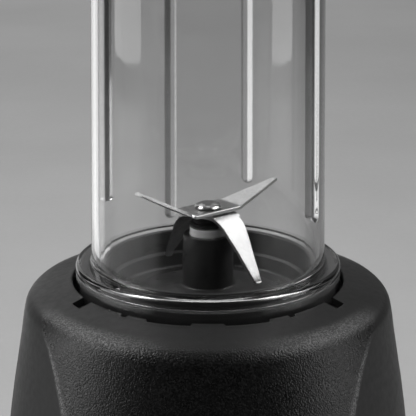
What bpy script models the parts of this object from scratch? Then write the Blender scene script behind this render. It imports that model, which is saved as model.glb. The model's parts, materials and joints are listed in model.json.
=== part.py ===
"""Countertop personal blender: motor base, blade holder and inverted clear cup, each piece its own object."""

import math

import bmesh
import bpy
from mathutils import Matrix, Vector

MM = 0.001
GAP = 0.3

# Heights. Z is up from the table; the cup's flange is the level that the upper pieces are measured from.
FLANGE_Z = 151.0
CUP_TOP = 165.0
DECK_EDGE_R = 48.2
DECK_EDGE_Z = -5.9
SHELL_WALL = 2.5
BASE_BOTTOM_Z = 3.0

# Cup.
CUP_ROOT_R = 41.3
CUP_DRAFT = 1.5 / 89.0
CUP_WALL = 2.5
FLANGE_R = 47.0
NECK_BOTTOM = -13.0
RIB_END = 158.0
RIB_WIDTH = 4.4
RIB_STARTS = {67.0: 19.0, 112.0: 5.0, 166.0: 19.0, 337.0: 19.0}

# Bayonet: tabs on the cup's skirt, notches in the deck, ramped plungers under the deck.
TAB_ANGLES = (212.0, 328.0, 90.0)
TAB_HALF = 2.5
TAB_OUT_R = 52.6
TAB_TOP = -11.4
NOTCH_HALF = 3.6
NOTCH_OUT_R = 53.1
PLUNGER_TABS = {"left": 212.0, "right": 328.0}
PLUNGER_START = 3.0
PLUNGER_SPAN = 19.5
PLUNGER_DROP_PER_DEG = 0.11
PLUNGER_IN_R = 51.6
PLUNGER_OUT_R = 53.3
STEM_R = 54.5

# Spindle line.
SPINDLE_R = 3.95
BUSH_OUT_R = 6.45
BUSH_IN_R = 4.25
BLADE_THICK = 1.2
LOWER_PLATE_Z = 17.5
UPPER_PLATE_Z = 19.0

# Motor, in heights above the table.
SHAFT_R = 4.0
ROTOR_BORE_R = 4.3
STATOR_HALF = 30.5
STATOR_Z = (51.0, 85.0)
BORE_R = 18.5
POLE_HALF = 12.3
WINDOW_HALF = 25.0
MOTOR_LEG_X = 28.5

# Feet and cover screws.
FOOT_XY = 45.0
FOOT_R = 7.0
SCREW_PITCH_R = 66.0
SCREW_ANGLES = {"front_left": 200.0, "front_right": 340.0, "back_left": 160.0, "back_right": 20.0}

# Front crease: its angle from the front, and the depth of the side hollow, at heights under the flange.
CREASE_HEIGHTS = (-148.0, -110.0, -80.0, -60.0, -37.0, -33.0, -25.0, -18.0, -13.0, -9.0)
CREASE_ANGLES = (29.0, 31.0, 33.5, 36.0, 41.5, 43.2, 47.5, 53.0, 60.0, 66.0)
HOLLOW_DEPTHS = (3.0, 4.2, 4.6, 4.4, 3.2, 2.8, 1.9, 1.0, 0.4, 0.0)

# Housing, from the deck's edge down: radius and height of the front panel.
HOUSING_PROFILE = (
    (48.2, -5.9),
    (56.0, -8.2),
    (60.2, -9.5),
    (62.9, -10.7),
    (64.9, -12.9),
    (66.2, -16.2),
    (68.4, -24.0),
    (72.0, -37.0),
    (74.4, -48.0),
    (76.6, -60.0),
    (78.9, -80.0),
    (80.3, -108.0),
    (80.7, -135.0),
    (80.2, -146.5),
    (79.2, -148.0),
)


def clear_scene():
    for obj in list(bpy.data.objects):
        bpy.data.objects.remove(obj, do_unlink=True)


def new_collection(name):
    found = bpy.data.collections.new(name)
    bpy.context.scene.collection.children.link(found)
    return found


clear_scene()
PARTS = new_collection("personal_blender")
HELPERS = new_collection("cutters_and_guides")


def material(name, colour, roughness, metallic=0.0, alpha=1.0):
    """A Principled material; a clear one also lets the light through."""
    found = bpy.data.materials.get(name)
    if found:
        return found
    found = bpy.data.materials.new(name)
    found.use_nodes = True
    shader = found.node_tree.nodes["Principled BSDF"]
    shader.inputs["Base Color"].default_value = (*colour, 1.0)
    shader.inputs["Roughness"].default_value = roughness
    shader.inputs["Metallic"].default_value = metallic
    if alpha < 1.0:
        shader.inputs["Transmission Weight"].default_value = 1.0
        shader.inputs["IOR"].default_value = 1.5
    return found


def grained_black():
    return material("grained_black_plastic", (0.018, 0.018, 0.019), 0.55)


def smooth_black():
    return material("smooth_black_plastic", (0.012, 0.012, 0.013), 0.22)


def clear_plastic():
    return material("clear_plastic", (0.95, 0.97, 0.98), 0.03, alpha=0.3)


def rubber():
    return material("black_rubber", (0.02, 0.02, 0.02), 0.8)


def blade_steel():
    return material("brushed_blade_steel", (0.72, 0.72, 0.73), 0.3, 1.0)


def polished_steel():
    return material("polished_steel", (0.75, 0.75, 0.76), 0.15, 1.0)


def shaft_steel():
    return material("ground_shaft_steel", (0.55, 0.55, 0.57), 0.3, 1.0)


def lamination_steel():
    return material("lamination_steel", (0.30, 0.30, 0.31), 0.5, 1.0)


def bracket_steel():
    return material("zinc_bracket_steel", (0.56, 0.57, 0.58), 0.4, 1.0)


def sintered_bronze():
    return material("sintered_bronze", (0.50, 0.36, 0.20), 0.45, 1.0)


def copper():
    return material("enamelled_copper", (0.62, 0.26, 0.11), 0.35, 1.0)


def carbon():
    return material("carbon", (0.03, 0.03, 0.032), 0.6)


def brass():
    return material("brass", (0.72, 0.53, 0.22), 0.3, 1.0)


def board_green():
    return material("board_green", (0.02, 0.16, 0.06), 0.45)


def component_plastic():
    return material("component_plastic", (0.06, 0.10, 0.20), 0.4)


def nylon():
    return material("white_nylon", (0.78, 0.77, 0.73), 0.45)


def up(height):
    """Height over the table, in metres, of a height given from the flange in mm."""
    return (FLANGE_Z + height) * MM


def add_object(name, mesh, finish, helper=False):
    obj = bpy.data.objects.new(name, mesh)
    (HELPERS if helper else PARTS).objects.link(obj)
    if helper:
        obj.hide_render = True
        obj.display_type = "WIRE"
    else:
        mesh.materials.append(finish)
    return obj


def mesh_from(name, points, faces):
    mesh = bpy.data.meshes.new(name)
    mesh.from_pydata([Vector(p) * MM for p in points], [], faces)
    edit = bmesh.new()
    edit.from_mesh(mesh)
    bmesh.ops.recalc_face_normals(edit, faces=edit.faces)
    edit.to_mesh(mesh)
    edit.free()
    return mesh


def smooth(obj, degrees=40.0):
    for face in obj.data.polygons:
        face.use_smooth = True
    obj.data.set_sharp_from_angle(angle=math.radians(degrees))


def turned(name, profile, finish, steps=32, base=FLANGE_Z, ring=False, helper=False):
    """A shape turned about Z from (radius, height) pairs that run down its outer side."""
    mesh = bpy.data.meshes.new(name)
    points = [(r * MM, 0.0, (base + z) * MM) for r, z in profile]
    edges = [(i, i + 1) for i in range(len(points) - 1)]
    if ring:
        edges.append((len(points) - 1, 0))
    mesh.from_pydata(points, edges, [])
    obj = add_object(name, mesh, finish, helper)
    screw = obj.modifiers.new("Turn", "SCREW")
    screw.angle = 2 * math.pi
    screw.steps = steps
    screw.render_steps = steps
    screw.use_merge_vertices = True
    screw.merge_threshold = 0.00001
    screw.use_smooth_shade = not helper
    return obj


def boolean(obj, cutter, operation="DIFFERENCE"):
    step = obj.modifiers.new(operation.title(), "BOOLEAN")
    step.operation = operation
    step.object = cutter
    step.solver = "EXACT"
    return step


def box_points(x0, x1, y0, y1, z0, z1):
    return [
        (x0, y0, z0),
        (x1, y0, z0),
        (x1, y1, z0),
        (x0, y1, z0),
        (x0, y0, z1),
        (x1, y0, z1),
        (x1, y1, z1),
        (x0, y1, z1),
    ]


BOX_FACES = [(0, 3, 2, 1), (4, 5, 6, 7), (0, 1, 5, 4), (1, 2, 6, 5), (2, 3, 7, 6), (3, 0, 4, 7)]


def box(name, finish, x, y, z, helper=False):
    """A block between two x, two y and two z, in mm over the table."""
    return add_object(name, mesh_from(name, box_points(*x, *y, *z), BOX_FACES), finish, helper)


def joined_boxes(name, boxes, finish=None, helper=True):
    """Several separate blocks in one mesh, each given as its eight points."""
    points = []
    faces = []
    for block in boxes:
        start = len(points)
        points += block
        faces += [tuple(start + i for i in face) for face in BOX_FACES]
    return add_object(name, mesh_from(name, points, faces), finish, helper)


def polar(radius, degrees, z):
    turn = math.radians(degrees)
    return (radius * math.cos(turn), radius * math.sin(turn), z)


def arc_block(inner, outer, start, end, bottom, top, pieces=1):
    """Points and faces of a block that follows an arc; top may be one height or a height for each end."""
    ends = top if isinstance(top, tuple) else (top, top)
    points = []
    for i in range(pieces + 1):
        share = i / pieces
        angle = start + (end - start) * share
        high = ends[0] + (ends[1] - ends[0]) * share
        points += [
            polar(inner, angle, bottom),
            polar(outer, angle, bottom),
            polar(outer, angle, high),
            polar(inner, angle, high),
        ]
    faces = [(0, 1, 2, 3)]
    for i in range(pieces):
        a = 4 * i
        for k in range(4):
            n = (k + 1) % 4
            faces.append((a + k, a + n, a + 4 + n, a + 4 + k))
    last = 4 * pieces
    faces.append((last + 3, last + 2, last + 1, last))
    return points, faces


def arc_blocks(name, blocks, finish=None, helper=True):
    points = []
    faces = []
    for block_points, block_faces in blocks:
        start = len(points)
        points += block_points
        faces += [tuple(start + i for i in face) for face in block_faces]
    return add_object(name, mesh_from(name, points, faces), finish, helper)


def raised(points_faces):
    """The same block, moved up from flange heights to table heights."""
    points, faces = points_faces
    return [(x, y, z + FLANGE_Z) for x, y, z in points], faces


def flat_outline(name, outlines, finish, thickness, plane_matrix):
    """A flat piece cut to an outline with its holes, extruded to its thickness."""
    curve = bpy.data.curves.new(name, "CURVE")
    curve.dimensions = "2D"
    curve.fill_mode = "BOTH"
    curve.extrude = thickness / 2 * MM
    for outline in outlines:
        line = curve.splines.new("POLY")
        line.points.add(len(outline) - 1)
        for point, (x, y) in zip(line.points, outline):
            point.co = (x * MM, y * MM, 0.0, 1.0)
        line.use_cyclic_u = True
    obj = bpy.data.objects.new(name, curve)
    PARTS.objects.link(obj)
    bpy.context.view_layer.update()
    mesh = bpy.data.meshes.new_from_object(obj)
    bpy.data.objects.remove(obj, do_unlink=True)
    edit = bmesh.new()
    edit.from_mesh(mesh)
    bmesh.ops.remove_doubles(edit, verts=edit.verts, dist=0.000001)
    bmesh.ops.recalc_face_normals(edit, faces=edit.faces)
    edit.to_mesh(mesh)
    edit.free()
    mesh.name = name
    mesh.materials.clear()
    made = add_object(name, mesh, finish)
    made.data.transform(plane_matrix)
    return made


def wire(name, path, radius, finish, cyclic=False, sides=2):
    """A wire or bar of round section along a path in mm over the table."""
    curve = bpy.data.curves.new(name, "CURVE")
    curve.dimensions = "3D"
    curve.bevel_depth = radius * MM
    curve.bevel_resolution = sides
    curve.use_fill_caps = not cyclic
    line = curve.splines.new("POLY")
    line.points.add(len(path) - 1)
    for point, place in zip(line.points, path):
        point.co = (*(Vector(place) * MM), 1.0)
    line.use_cyclic_u = cyclic
    obj = bpy.data.objects.new(name, curve)
    PARTS.objects.link(obj)
    curve.materials.append(finish)
    return obj


def circle_outline(radius, count, start=0.0):
    return [
        (
            radius * math.cos(start + 2 * math.pi * i / count),
            radius * math.sin(start + 2 * math.pi * i / count),
        )
        for i in range(count)
    ]


def between(value, places, values):
    """Straight-line reading of a table whose places rise."""
    if value <= places[0]:
        return values[0]
    for i in range(len(places) - 1):
        if value <= places[i + 1]:
            share = (value - places[i]) / (places[i + 1] - places[i])
            return values[i] + (values[i + 1] - values[i]) * share
    return values[-1]


# ---------------------------------------------------------------- housing


def housing_angles(crease):
    """Angles round the housing from the front, with a vertex on each of the four creases."""
    panel = [crease * i / 4 for i in range(4)]
    hollow = [crease + (90.0 - crease) * i / 5 for i in range(6)]
    quarter = panel + hollow
    half = quarter + [180.0 - a for a in reversed(quarter[:-1])]
    return half + [360.0 - a for a in reversed(half[1:-1])]


def housing_radius(radius, height, angle, crease):
    depth = between(height, CREASE_HEIGHTS, HOLLOW_DEPTHS)
    folded = abs(((angle + 180.0) % 360.0) - 180.0)
    from_side = abs(folded - 90.0)
    if from_side >= 90.0 - crease:
        return radius
    share = from_side / (90.0 - crease)
    return radius - depth * (1.0 - share * share)


def housing_surface(name):
    points = []
    for radius, height in HOUSING_PROFILE:
        crease = between(height, CREASE_HEIGHTS, CREASE_ANGLES)
        for angle in housing_angles(crease):
            reach = housing_radius(radius, height, angle, crease)
            points.append(polar(reach, angle - 90.0, height + FLANGE_Z))
    count = len(points) // len(HOUSING_PROFILE)
    faces = []
    for ring in range(len(HOUSING_PROFILE) - 1):
        for i in range(count):
            n = (i + 1) % count
            a = ring * count
            faces.append((a + i, a + count + i, a + count + n, a + n))
    mesh = bpy.data.meshes.new(name)
    mesh.from_pydata([Vector(p) * MM for p in points], [], faces)
    return mesh


def deck_cutter():
    """Notches that let the cup's tabs in, and the short relief slots at the front and back of the deck's edge."""
    low, high = -14.0, -5.0
    blocks = [
        arc_block(44.0, NOTCH_OUT_R, a - NOTCH_HALF, a + NOTCH_HALF, low, high, 2) for a in TAB_ANGLES
    ]
    for middle in (254.6, 285.4):
        blocks.append(arc_block(44.0, 49.5, middle - 9.0, middle + 9.0, low, high, 4))
    for middle in (235.5, 304.5):
        blocks.append(arc_block(44.0, 49.4, middle - 1.3, middle + 1.3, low, high, 1))
    return arc_blocks("deck_cutter", [raised(b) for b in blocks])


def pillar_block(angle):
    """A screw pillar that grows out of the housing's wall."""
    turn = Matrix.Rotation(math.radians(angle), 4, "Z")
    block = box_points(61.5, 75.7, -5.0, 5.0, 6.0, 40.0)
    return [tuple(turn @ Vector(p)) for p in block]


def base_housing():
    housing = add_object("base_housing", housing_surface("base_housing"), grained_black())
    shell = housing.modifiers.new("Shell", "SOLIDIFY")
    shell.thickness = SHELL_WALL * MM
    shell.offset = -1.0
    shell.use_even_offset = True
    pillars = [pillar_block(angle) for angle in SCREW_ANGLES.values()]
    boolean(housing, joined_boxes("pillar_union", pillars), "UNION")
    bores = []
    for angle in SCREW_ANGLES.values():
        x, y, _ = polar(SCREW_PITCH_R, angle, 0.0)
        bores.append(box_points(x - 1.5, x + 1.5, y - 1.5, y + 1.5, 4.0, 20.0))
    boolean(housing, joined_boxes("pillar_bores", bores))
    boolean(housing, deck_cutter())
    inlet = turned("inlet_cutter", ((0, 90), (6.3, 90), (6.3, 70), (0, 70)), None, 16, 0.0, helper=True)
    inlet.matrix_world = Matrix.Translation((0, 0, 22 * MM)) @ Matrix.Rotation(-math.pi / 2, 4, "X")
    boolean(housing, inlet)
    smooth(housing, 30)
    return housing


# ---------------------------------------------------------------- base, fixed pieces


def cup_seat():
    seat = turned(
        "cup_seat",
        (
            (56.0, -11.7),
            (56.0, -15.5),
            (50.8, -15.5),
            (50.8, -26.8),
            (24.2, -26.8),
            (24.2, -33.2),
            (5.6, -33.2),
            (5.6, -28.2),
            (7.4, -28.2),
            (7.4, -31.0),
            (22.0, -31.0),
            (22.0, -24.6),
            (48.6, -24.6),
            (48.6, -13.5),
            (54.2, -13.5),
            (54.2, -11.7),
        ),
        smooth_black(),
        32,
        ring=True,
    )
    slots = []
    for tab in PLUNGER_TABS.values():
        start = tab - PLUNGER_START - PLUNGER_SPAN - 0.6
        end = tab - PLUNGER_START + 0.6
        slots.append(raised(arc_block(51.3, 53.6, start, end, -16.5, -12.0, 4)))
    boolean(seat, arc_blocks("plunger_slots", slots))
    return seat


def bottom_cover():
    cover = turned(
        "bottom_cover",
        (
            (73.6, 5.7),
            (73.6, 3.8),
            (73.0, 3.2),
            (9.0, 3.2),
            (9.0, 5.7),
            (14.5, 5.7),
            (14.5, 14.0),
            (19.5, 14.0),
            (19.5, 5.7),
        ),
        smooth_black(),
        32,
        0.0,
        ring=True,
    )
    vents = [box_points(x - 1.6, x + 1.6, -27 * s, -52 * s, 1.0, 8.0) for x in (-15, -5, 5, 15) for s in (1, -1)]
    vents = [sorted_box(v) for v in vents]
    holes = []
    for angle in SCREW_ANGLES.values():
        x, y, _ = polar(SCREW_PITCH_R, angle, 0.0)
        holes.append(box_points(x - 1.6, x + 1.6, y - 1.6, y + 1.6, 1.0, 8.0))
    for x, y in foot_places().values():
        holes.append(box_points(x - 2.4, x + 2.4, y - 2.4, y + 2.4, 1.0, 8.0))
    boolean(cover, joined_boxes("cover_cutter", vents + holes))
    return cover


def sorted_box(points):
    xs, ys, zs = zip(*points)
    return box_points(min(xs), max(xs), min(ys), max(ys), min(zs), max(zs))


def foot_places():
    return {
        "front_left": (-FOOT_XY, -FOOT_XY),
        "front_right": (FOOT_XY, -FOOT_XY),
        "back_left": (-FOOT_XY, FOOT_XY),
        "back_right": (FOOT_XY, FOOT_XY),
    }


def feet():
    for place, (x, y) in foot_places().items():
        profile = ((0, 6.9), (1.9, 6.9), (1.9, 2.9), (FOOT_R, 2.9), (FOOT_R, 0.8), (6.2, 0.0), (0, 0.0))
        foot = turned("foot_" + place, profile, rubber(), 12, 0.0)
        foot.location = (x * MM, y * MM, 0.0)


def cover_screws():
    for place, angle in SCREW_ANGLES.items():
        profile = ((0, 15.0), (0.9, 14.4), (1.2, 13.4), (1.2, 2.9), (3.0, 2.9), (3.0, 1.9), (2.2, 1.2), (0, 1.2))
        screw = turned("cover_screw_" + place, profile, bracket_steel(), 10, 0.0)
        screw.location = polar(SCREW_PITCH_R * MM, angle, 0.0)


def cord_gland():
    gland = turned(
        "cord_gland",
        (
            (4.4, 80.4),
            (5.9, 79.9),
            (5.9, 77.2),
            (8.0, 77.2),
            (8.0, 75.2),
            (3.0, 75.2),
            (3.0, 79.6),
        ),
        rubber(),
        14,
        0.0,
        ring=True,
    )
    gland.matrix_world = Matrix.Translation((0, 0, 22 * MM)) @ Matrix.Rotation(-math.pi / 2, 4, "X")


def mount_rings():
    lower = ((19.3, 18.0), (19.3, 14.3), (14.7, 14.3), (14.7, 18.0))
    turned("motor_mount_lower", lower, rubber(), 20, 0.0, ring=True)
    upper = ((19.3, 117.5), (19.3, 111.3), (14.7, 111.3), (14.7, 117.5))
    turned("motor_mount_upper", upper, rubber(), 20, 0.0, ring=True)


def bracket(name, plate, leg_end, boss, seat_z, through):
    """A U bracket across the motor, with a boss that holds one bearing."""
    x, leg = MOTOR_LEG_X + 1.5, 3.0
    z0, z1 = plate
    if leg_end > z1:
        outline = [(-x, z0), (x, z0), (x, leg_end), (x - leg, leg_end), (x - leg, z1)]
        outline += [(leg - x, z1), (leg - x, leg_end), (-x, leg_end)]
    else:
        outline = [(-x, z1), (-x, leg_end), (leg - x, leg_end), (leg - x, z0)]
        outline += [(x - leg, z0), (x - leg, leg_end), (x, leg_end), (x, z1)]
    stand = Matrix.Rotation(math.pi / 2, 4, "X")
    made = flat_outline(name, [outline], bracket_steel(), 16.0, stand)
    boss_profile = ((0, boss[1]), (10.5, boss[1]), (10.5, boss[0]), (0, boss[0]))
    boolean(made, turned(name + "_boss", boss_profile, None, 16, 0.0, helper=True), "UNION")
    low, high = through
    if leg_end > z1:
        bore = ((0, high), (7.8, high), (7.8, seat_z), (5.2, seat_z), (5.2, low), (0, low))
    else:
        bore = ((0, high), (5.2, high), (5.2, seat_z), (7.8, seat_z), (7.8, low), (0, low))
    boolean(made, turned(name + "_bore", bore, None, 16, 0.0, helper=True))
    return made


def brackets():
    bracket("motor_bracket_lower", (18.3, 21.3), 50.7, (18.4, 27.0), 20.0, (17.0, 30.0))
    bracket("motor_bracket_upper", (108.0, 111.0), 85.3, (104.5, 110.9), 110.0, (100.0, 114.0))


def bearings():
    lower = ((7.5, 26.4), (7.5, 20.3), (ROTOR_BORE_R, 20.3), (ROTOR_BORE_R, 26.4))
    turned("motor_bearing_lower", lower, sintered_bronze(), 16, 0.0, ring=True)
    upper = ((7.5, 109.7), (7.5, 104.8), (ROTOR_BORE_R, 104.8), (ROTOR_BORE_R, 109.7))
    turned("motor_bearing_upper", upper, sintered_bronze(), 16, 0.0, ring=True)


def stator_outlines():
    half, cut = STATOR_HALF, 7.0
    outer = [
        (half, -half + cut),
        (half, half - cut),
        (half - cut, half),
        (cut - half, half),
        (-half, half - cut),
        (-half, cut - half),
        (cut - half, -half),
        (half - cut, -half),
    ]
    reach = math.sqrt(BORE_R**2 - POLE_HALF**2)
    edge = math.atan2(reach, POLE_HALF)
    sweep = [edge + (math.pi - 2 * edge) * i / 6 for i in range(7)]
    top = [(BORE_R * math.cos(a), BORE_R * math.sin(a)) for a in sweep]
    bottom = [(x, -y) for x, y in reversed(top)]
    inner = [(POLE_HALF, WINDOW_HALF), (WINDOW_HALF, WINDOW_HALF)]
    inner += [(WINDOW_HALF, -WINDOW_HALF), (POLE_HALF, -WINDOW_HALF)]
    inner += list(reversed(bottom))
    inner += [(-POLE_HALF, -WINDOW_HALF), (-WINDOW_HALF, -WINDOW_HALF)]
    inner += [(-WINDOW_HALF, WINDOW_HALF), (-POLE_HALF, WINDOW_HALF)]
    inner += list(reversed(top))
    return [outer, inner]


def stator_core():
    low, high = STATOR_Z
    lift = Matrix.Translation((0, 0, (low + high) / 2 * MM))
    flat_outline("stator_core", stator_outlines(), lamination_steel(), high - low, lift)


def field_coils():
    low, high = STATOR_Z[0] - 3.3, STATOR_Z[1] + 3.3
    for place, y in {"front": -21.8, "back": 21.8}.items():
        path = [(-16.1, y, low + 3), (-16.1, y, high - 3), (-13.1, y, high), (13.1, y, high)]
        path += [(16.1, y, high - 3), (16.1, y, low + 3), (13.1, y, low), (-13.1, y, low)]
        wire("field_coil_" + place, path, 2.8, copper(), cyclic=True)


def brushes():
    for place, side in {"front": -1, "back": 1}.items():
        holder = box(
            "brush_holder_" + place,
            brass(),
            (-3.5, 3.5),
            tuple(sorted((12.0 * side, 27.0 * side))),
            (32.0, 39.0),
        )
        tunnel = box(
            "brush_tunnel_" + place,
            None,
            (-2.5, 2.5),
            tuple(sorted((10.0 * side, 30.0 * side))),
            (33.0, 38.0),
            helper=True,
        )
        boolean(holder, tunnel)
        box(
            "brush_" + place,
            carbon(),
            (-2.2, 2.2),
            tuple(sorted((10.4 * side, 24.0 * side))),
            (33.3, 37.7),
        )


def control_board():
    box("control_board", board_green(), (-24, 24), (46.0, 47.6), (22, 64))
    box("noise_capacitor", component_plastic(), (-20, -2), (36.0, 45.7), (44, 58))
    box("power_relay", component_plastic(), (4, 20), (35.0, 45.7), (28, 42))


def microswitches():
    for side, tab in PLUNGER_TABS.items():
        middle = tab - PLUNGER_START - PLUNGER_SPAN / 2
        block = raised(arc_block(51.4, 58.4, middle - 8, middle + 8, -36.0, -28.6, 3))
        arc_blocks("microswitch_" + side, [block], nylon(), helper=False)


# ---------------------------------------------------------------- interlock plungers


def interlock_plungers():
    for side, tab in PLUNGER_TABS.items():
        high_end = tab - PLUNGER_START - PLUNGER_SPAN
        low_end = tab - PLUNGER_START
        low_top = NECK_BOTTOM - GAP
        high_top = low_top + PLUNGER_SPAN * PLUNGER_DROP_PER_DEG
        middle = (high_end + low_end) / 2
        ramp = arc_block(
            PLUNGER_IN_R, PLUNGER_OUT_R, high_end, low_end, -18.5, (high_top, low_top), 4
        )
        plunger = arc_blocks("interlock_plunger_" + side, [raised(ramp)], nylon(), helper=False)
        flange = raised(arc_block(51.6, 57.6, middle - 5, middle + 5, -18.8, -17.2, 2))
        boolean(plunger, arc_blocks("plunger_flange_" + side, [flange]), "UNION")
        stem_profile = ((0, -18.0), (1.4, -18.0), (1.4, -26.2), (0, -26.2))
        stem = turned("plunger_stem_" + side, stem_profile, None, 12, helper=True)
        stem.location = polar(STEM_R * MM, middle, 0.0)
        boolean(plunger, stem, "UNION")


def interlock_springs():
    turns, steps = 4, 7
    low, high = -28.1, -19.3
    for side, tab in PLUNGER_TABS.items():
        middle = tab - PLUNGER_START - PLUNGER_SPAN / 2
        cx, cy, _ = polar(STEM_R, middle, 0.0)
        path = []
        for i in range(turns * steps + 1):
            angle = 2 * math.pi * i / steps
            z = FLANGE_Z + low + (high - low) * i / (turns * steps)
            path.append((cx + 2.15 * math.cos(angle), cy + 2.15 * math.sin(angle), z))
        wire("interlock_spring_" + side, path, 0.35, shaft_steel(), sides=2)


# ---------------------------------------------------------------- motor, turning pieces


def motor_shaft():
    profile = ((0, 125.6), (3.6, 125.6), (SHAFT_R, 125.2), (SHAFT_R, 18.6), (0, 18.6))
    turned("motor_shaft", profile, shaft_steel(), 20, 0.0)


def armature_core():
    slots = 8
    outline = []
    for i in range(slots):
        middle = 2 * math.pi * i / slots
        for radius, offset in ((17.9, -0.32), (18.0, 0.0), (17.9, 0.32), (12.0, 0.26), (12.0, 0.525)):
            outline.append((radius * math.cos(middle + offset), radius * math.sin(middle + offset)))
    lift = Matrix.Translation((0, 0, 68 * MM))
    bore = circle_outline(ROTOR_BORE_R, 12)
    flat_outline("armature_core", [outline, bore], lamination_steel(), 32.0, lift)


def armature_windings():
    top = ((12.0, 91.0), (15.0, 89.0), (15.8, 86.5), (14.5, 84.3), (ROTOR_BORE_R, 84.3), (6.0, 91.0))
    turned("armature_winding_top", top, copper(), 16, 0.0, ring=True)
    low = ((14.5, 51.7), (15.8, 49.5), (15.0, 46.5), (11.0, 43.5), (5.5, 43.5), (ROTOR_BORE_R, 51.7))
    turned("armature_winding_bottom", low, copper(), 16, 0.0, ring=True)


def commutator():
    profile = ((10.0, 41.5), (10.0, 31.0), (8.6, 30.0), (ROTOR_BORE_R, 30.0), (ROTOR_BORE_R, 42.5), (9.0, 42.5))
    turned("commutator", profile, copper(), 16, 0.0, ring=True)


def cooling_fan():
    profile = (
        (25.0, 95.0),
        (25.0, 93.6),
        (ROTOR_BORE_R, 93.6),
        (ROTOR_BORE_R, 102.8),
        (7.5, 102.8),
        (7.5, 95.0),
    )
    fan = turned("cooling_fan", profile, nylon(), 20, 0.0, ring=True)
    vanes = []
    for i in range(9):
        turn = Matrix.Rotation(2 * math.pi * i / 9, 4, "Z") @ Matrix.Rotation(math.radians(25), 4, "Z")
        vane = box_points(9.5, 23.5, 3.2, 4.6, 94.2, 102.2)
        vanes.append([tuple(turn @ Vector(p)) for p in vane])
    boolean(fan, joined_boxes("fan_vanes", vanes), "UNION")


def dogs(name, middle_offset, low, high):
    blocks = []
    for i in range(4):
        middle = 90.0 * i + middle_offset
        blocks.append(raised(arc_block(6.4, 13.0, middle - 15, middle + 15, low, high, 2)))
    return arc_blocks(name, blocks)


def drive_coupling():
    profile = (
        (13.5, -25.2),
        (13.5, -30.2),
        (11.0, -30.2),
        (11.0, -27.6),
        (5.2, -27.6),
        (5.2, -32.0),
        (ROTOR_BORE_R, -32.0),
        (ROTOR_BORE_R, -25.2),
    )
    coupling = turned("drive_coupling", profile, smooth_black(), 20, ring=True)
    boolean(coupling, dogs("drive_dogs", 45.0, -26.0, -21.0), "UNION")


# ---------------------------------------------------------------- blade holder


def blade_holder():
    profile = (
        (44.9, -3.6),
        (44.9, -24.3),
        (42.6, -24.3),
        (42.4, -18.2),
        (33.5, -16.6),
        (24.0, -15.4),
        (11.0, -12.2),
        (10.6, -17.0),
        (6.75, -17.0),
        (6.75, 10.2),
        (8.3, 10.2),
        (8.9, 9.2),
        (9.3, -8.0),
        (9.9, -8.9),
        (12.0, -9.2),
        (26.0, -12.4),
        (27.0, -13.4),
        (33.0, -13.9),
        (34.6, -12.6),
        (35.2, -8.4),
        (36.2, -7.8),
        (36.4, -0.2),
        (37.0, 0.6),
        (38.1, 0.6),
        (38.4, 0.1),
        (38.4, -15.6),
        (41.3, -15.6),
        (41.3, -3.6),
    )
    turned("blade_holder", profile, smooth_black(), 32, ring=True)


def holder_gasket():
    profile = ((40.9, -13.3), (40.9, -15.3), (38.8, -15.3), (38.8, -13.3))
    turned("holder_gasket", profile, rubber(), 28, ring=True)


def post_bushes():
    upper = ((BUSH_OUT_R, 12.6), (BUSH_OUT_R, 1.6), (BUSH_IN_R, 1.6), (BUSH_IN_R, 13.0), (6.05, 13.0))
    turned("post_bush_upper", upper, polished_steel(), 20, ring=True)
    seal = ((BUSH_OUT_R, 1.3), (BUSH_OUT_R, -2.2), (4.3, -2.2), (4.3, 1.3))
    turned("spindle_seal", seal, rubber(), 16, ring=True)
    lower = ((BUSH_OUT_R, -2.5), (BUSH_OUT_R, -16.8), (BUSH_IN_R, -16.8), (BUSH_IN_R, -2.5))
    turned("post_bush_lower", lower, sintered_bronze(), 16, ring=True)


# ---------------------------------------------------------------- cutter


def spindle():
    profile = (
        (0, 6.6),
        (2.8, 6.6),
        (2.8, 16.4),
        (3.7, 16.4),
        (SPINDLE_R, 16.0),
        (SPINDLE_R, -24.0),
        (0, -24.0),
    )
    turned("blade_spindle", profile, shaft_steel(), 20)


def spacer():
    profile = (
        (5.3, 16.6),
        (5.8, 16.0),
        (5.4, 15.3),
        (5.4, 14.9),
        (6.1, 14.5),
        (6.1, 13.3),
        (BUSH_IN_R, 13.3),
        (BUSH_IN_R, 16.6),
    )
    turned("blade_spacer", profile, rubber(), 16, ring=True)


def ribbon_blade(name, sections):
    """A thin blade from pairs of edge points, bored for the bolt."""
    points = []
    for left, right in sections:
        points += [left, right]
    faces = [(2 * i, 2 * i + 1, 2 * i + 3, 2 * i + 2) for i in range(len(sections) - 1)]
    mesh = bpy.data.meshes.new(name)
    mesh.from_pydata([Vector((x, y, z + FLANGE_Z)) * MM for x, y, z in points], [], faces)
    obj = add_object(name, mesh, blade_steel())
    sheet = obj.modifiers.new("Sheet", "SOLIDIFY")
    sheet.thickness = BLADE_THICK * MM
    sheet.offset = 0.0
    sheet.use_even_offset = True
    hole = turned(name + "_hole", ((0, 24), (2.9, 24), (2.9, 10), (0, 10)), None, 20, helper=True)
    boolean(obj, hole)
    return obj


def upper_blade():
    z = UPPER_PLATE_Z
    ribbon_blade(
        "upper_blade",
        (
            ((24.9, 9.3, 27.4), (22.4, 11.0, 27.1)),
            ((13.0, 2.5, z + 0.9), (5.4, 11.5, z + 0.9)),
            ((11.4, 1.4, z), (3.9, 11.2, z)),
            ((-3.9, -11.2, z), (-11.4, -1.4, z)),
            ((-5.4, -11.5, z + 0.9), (-13.0, -2.5, z + 0.9)),
            ((-22.4, -11.0, 27.1), (-24.9, -9.3, 27.4)),
        ),
    )


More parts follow.
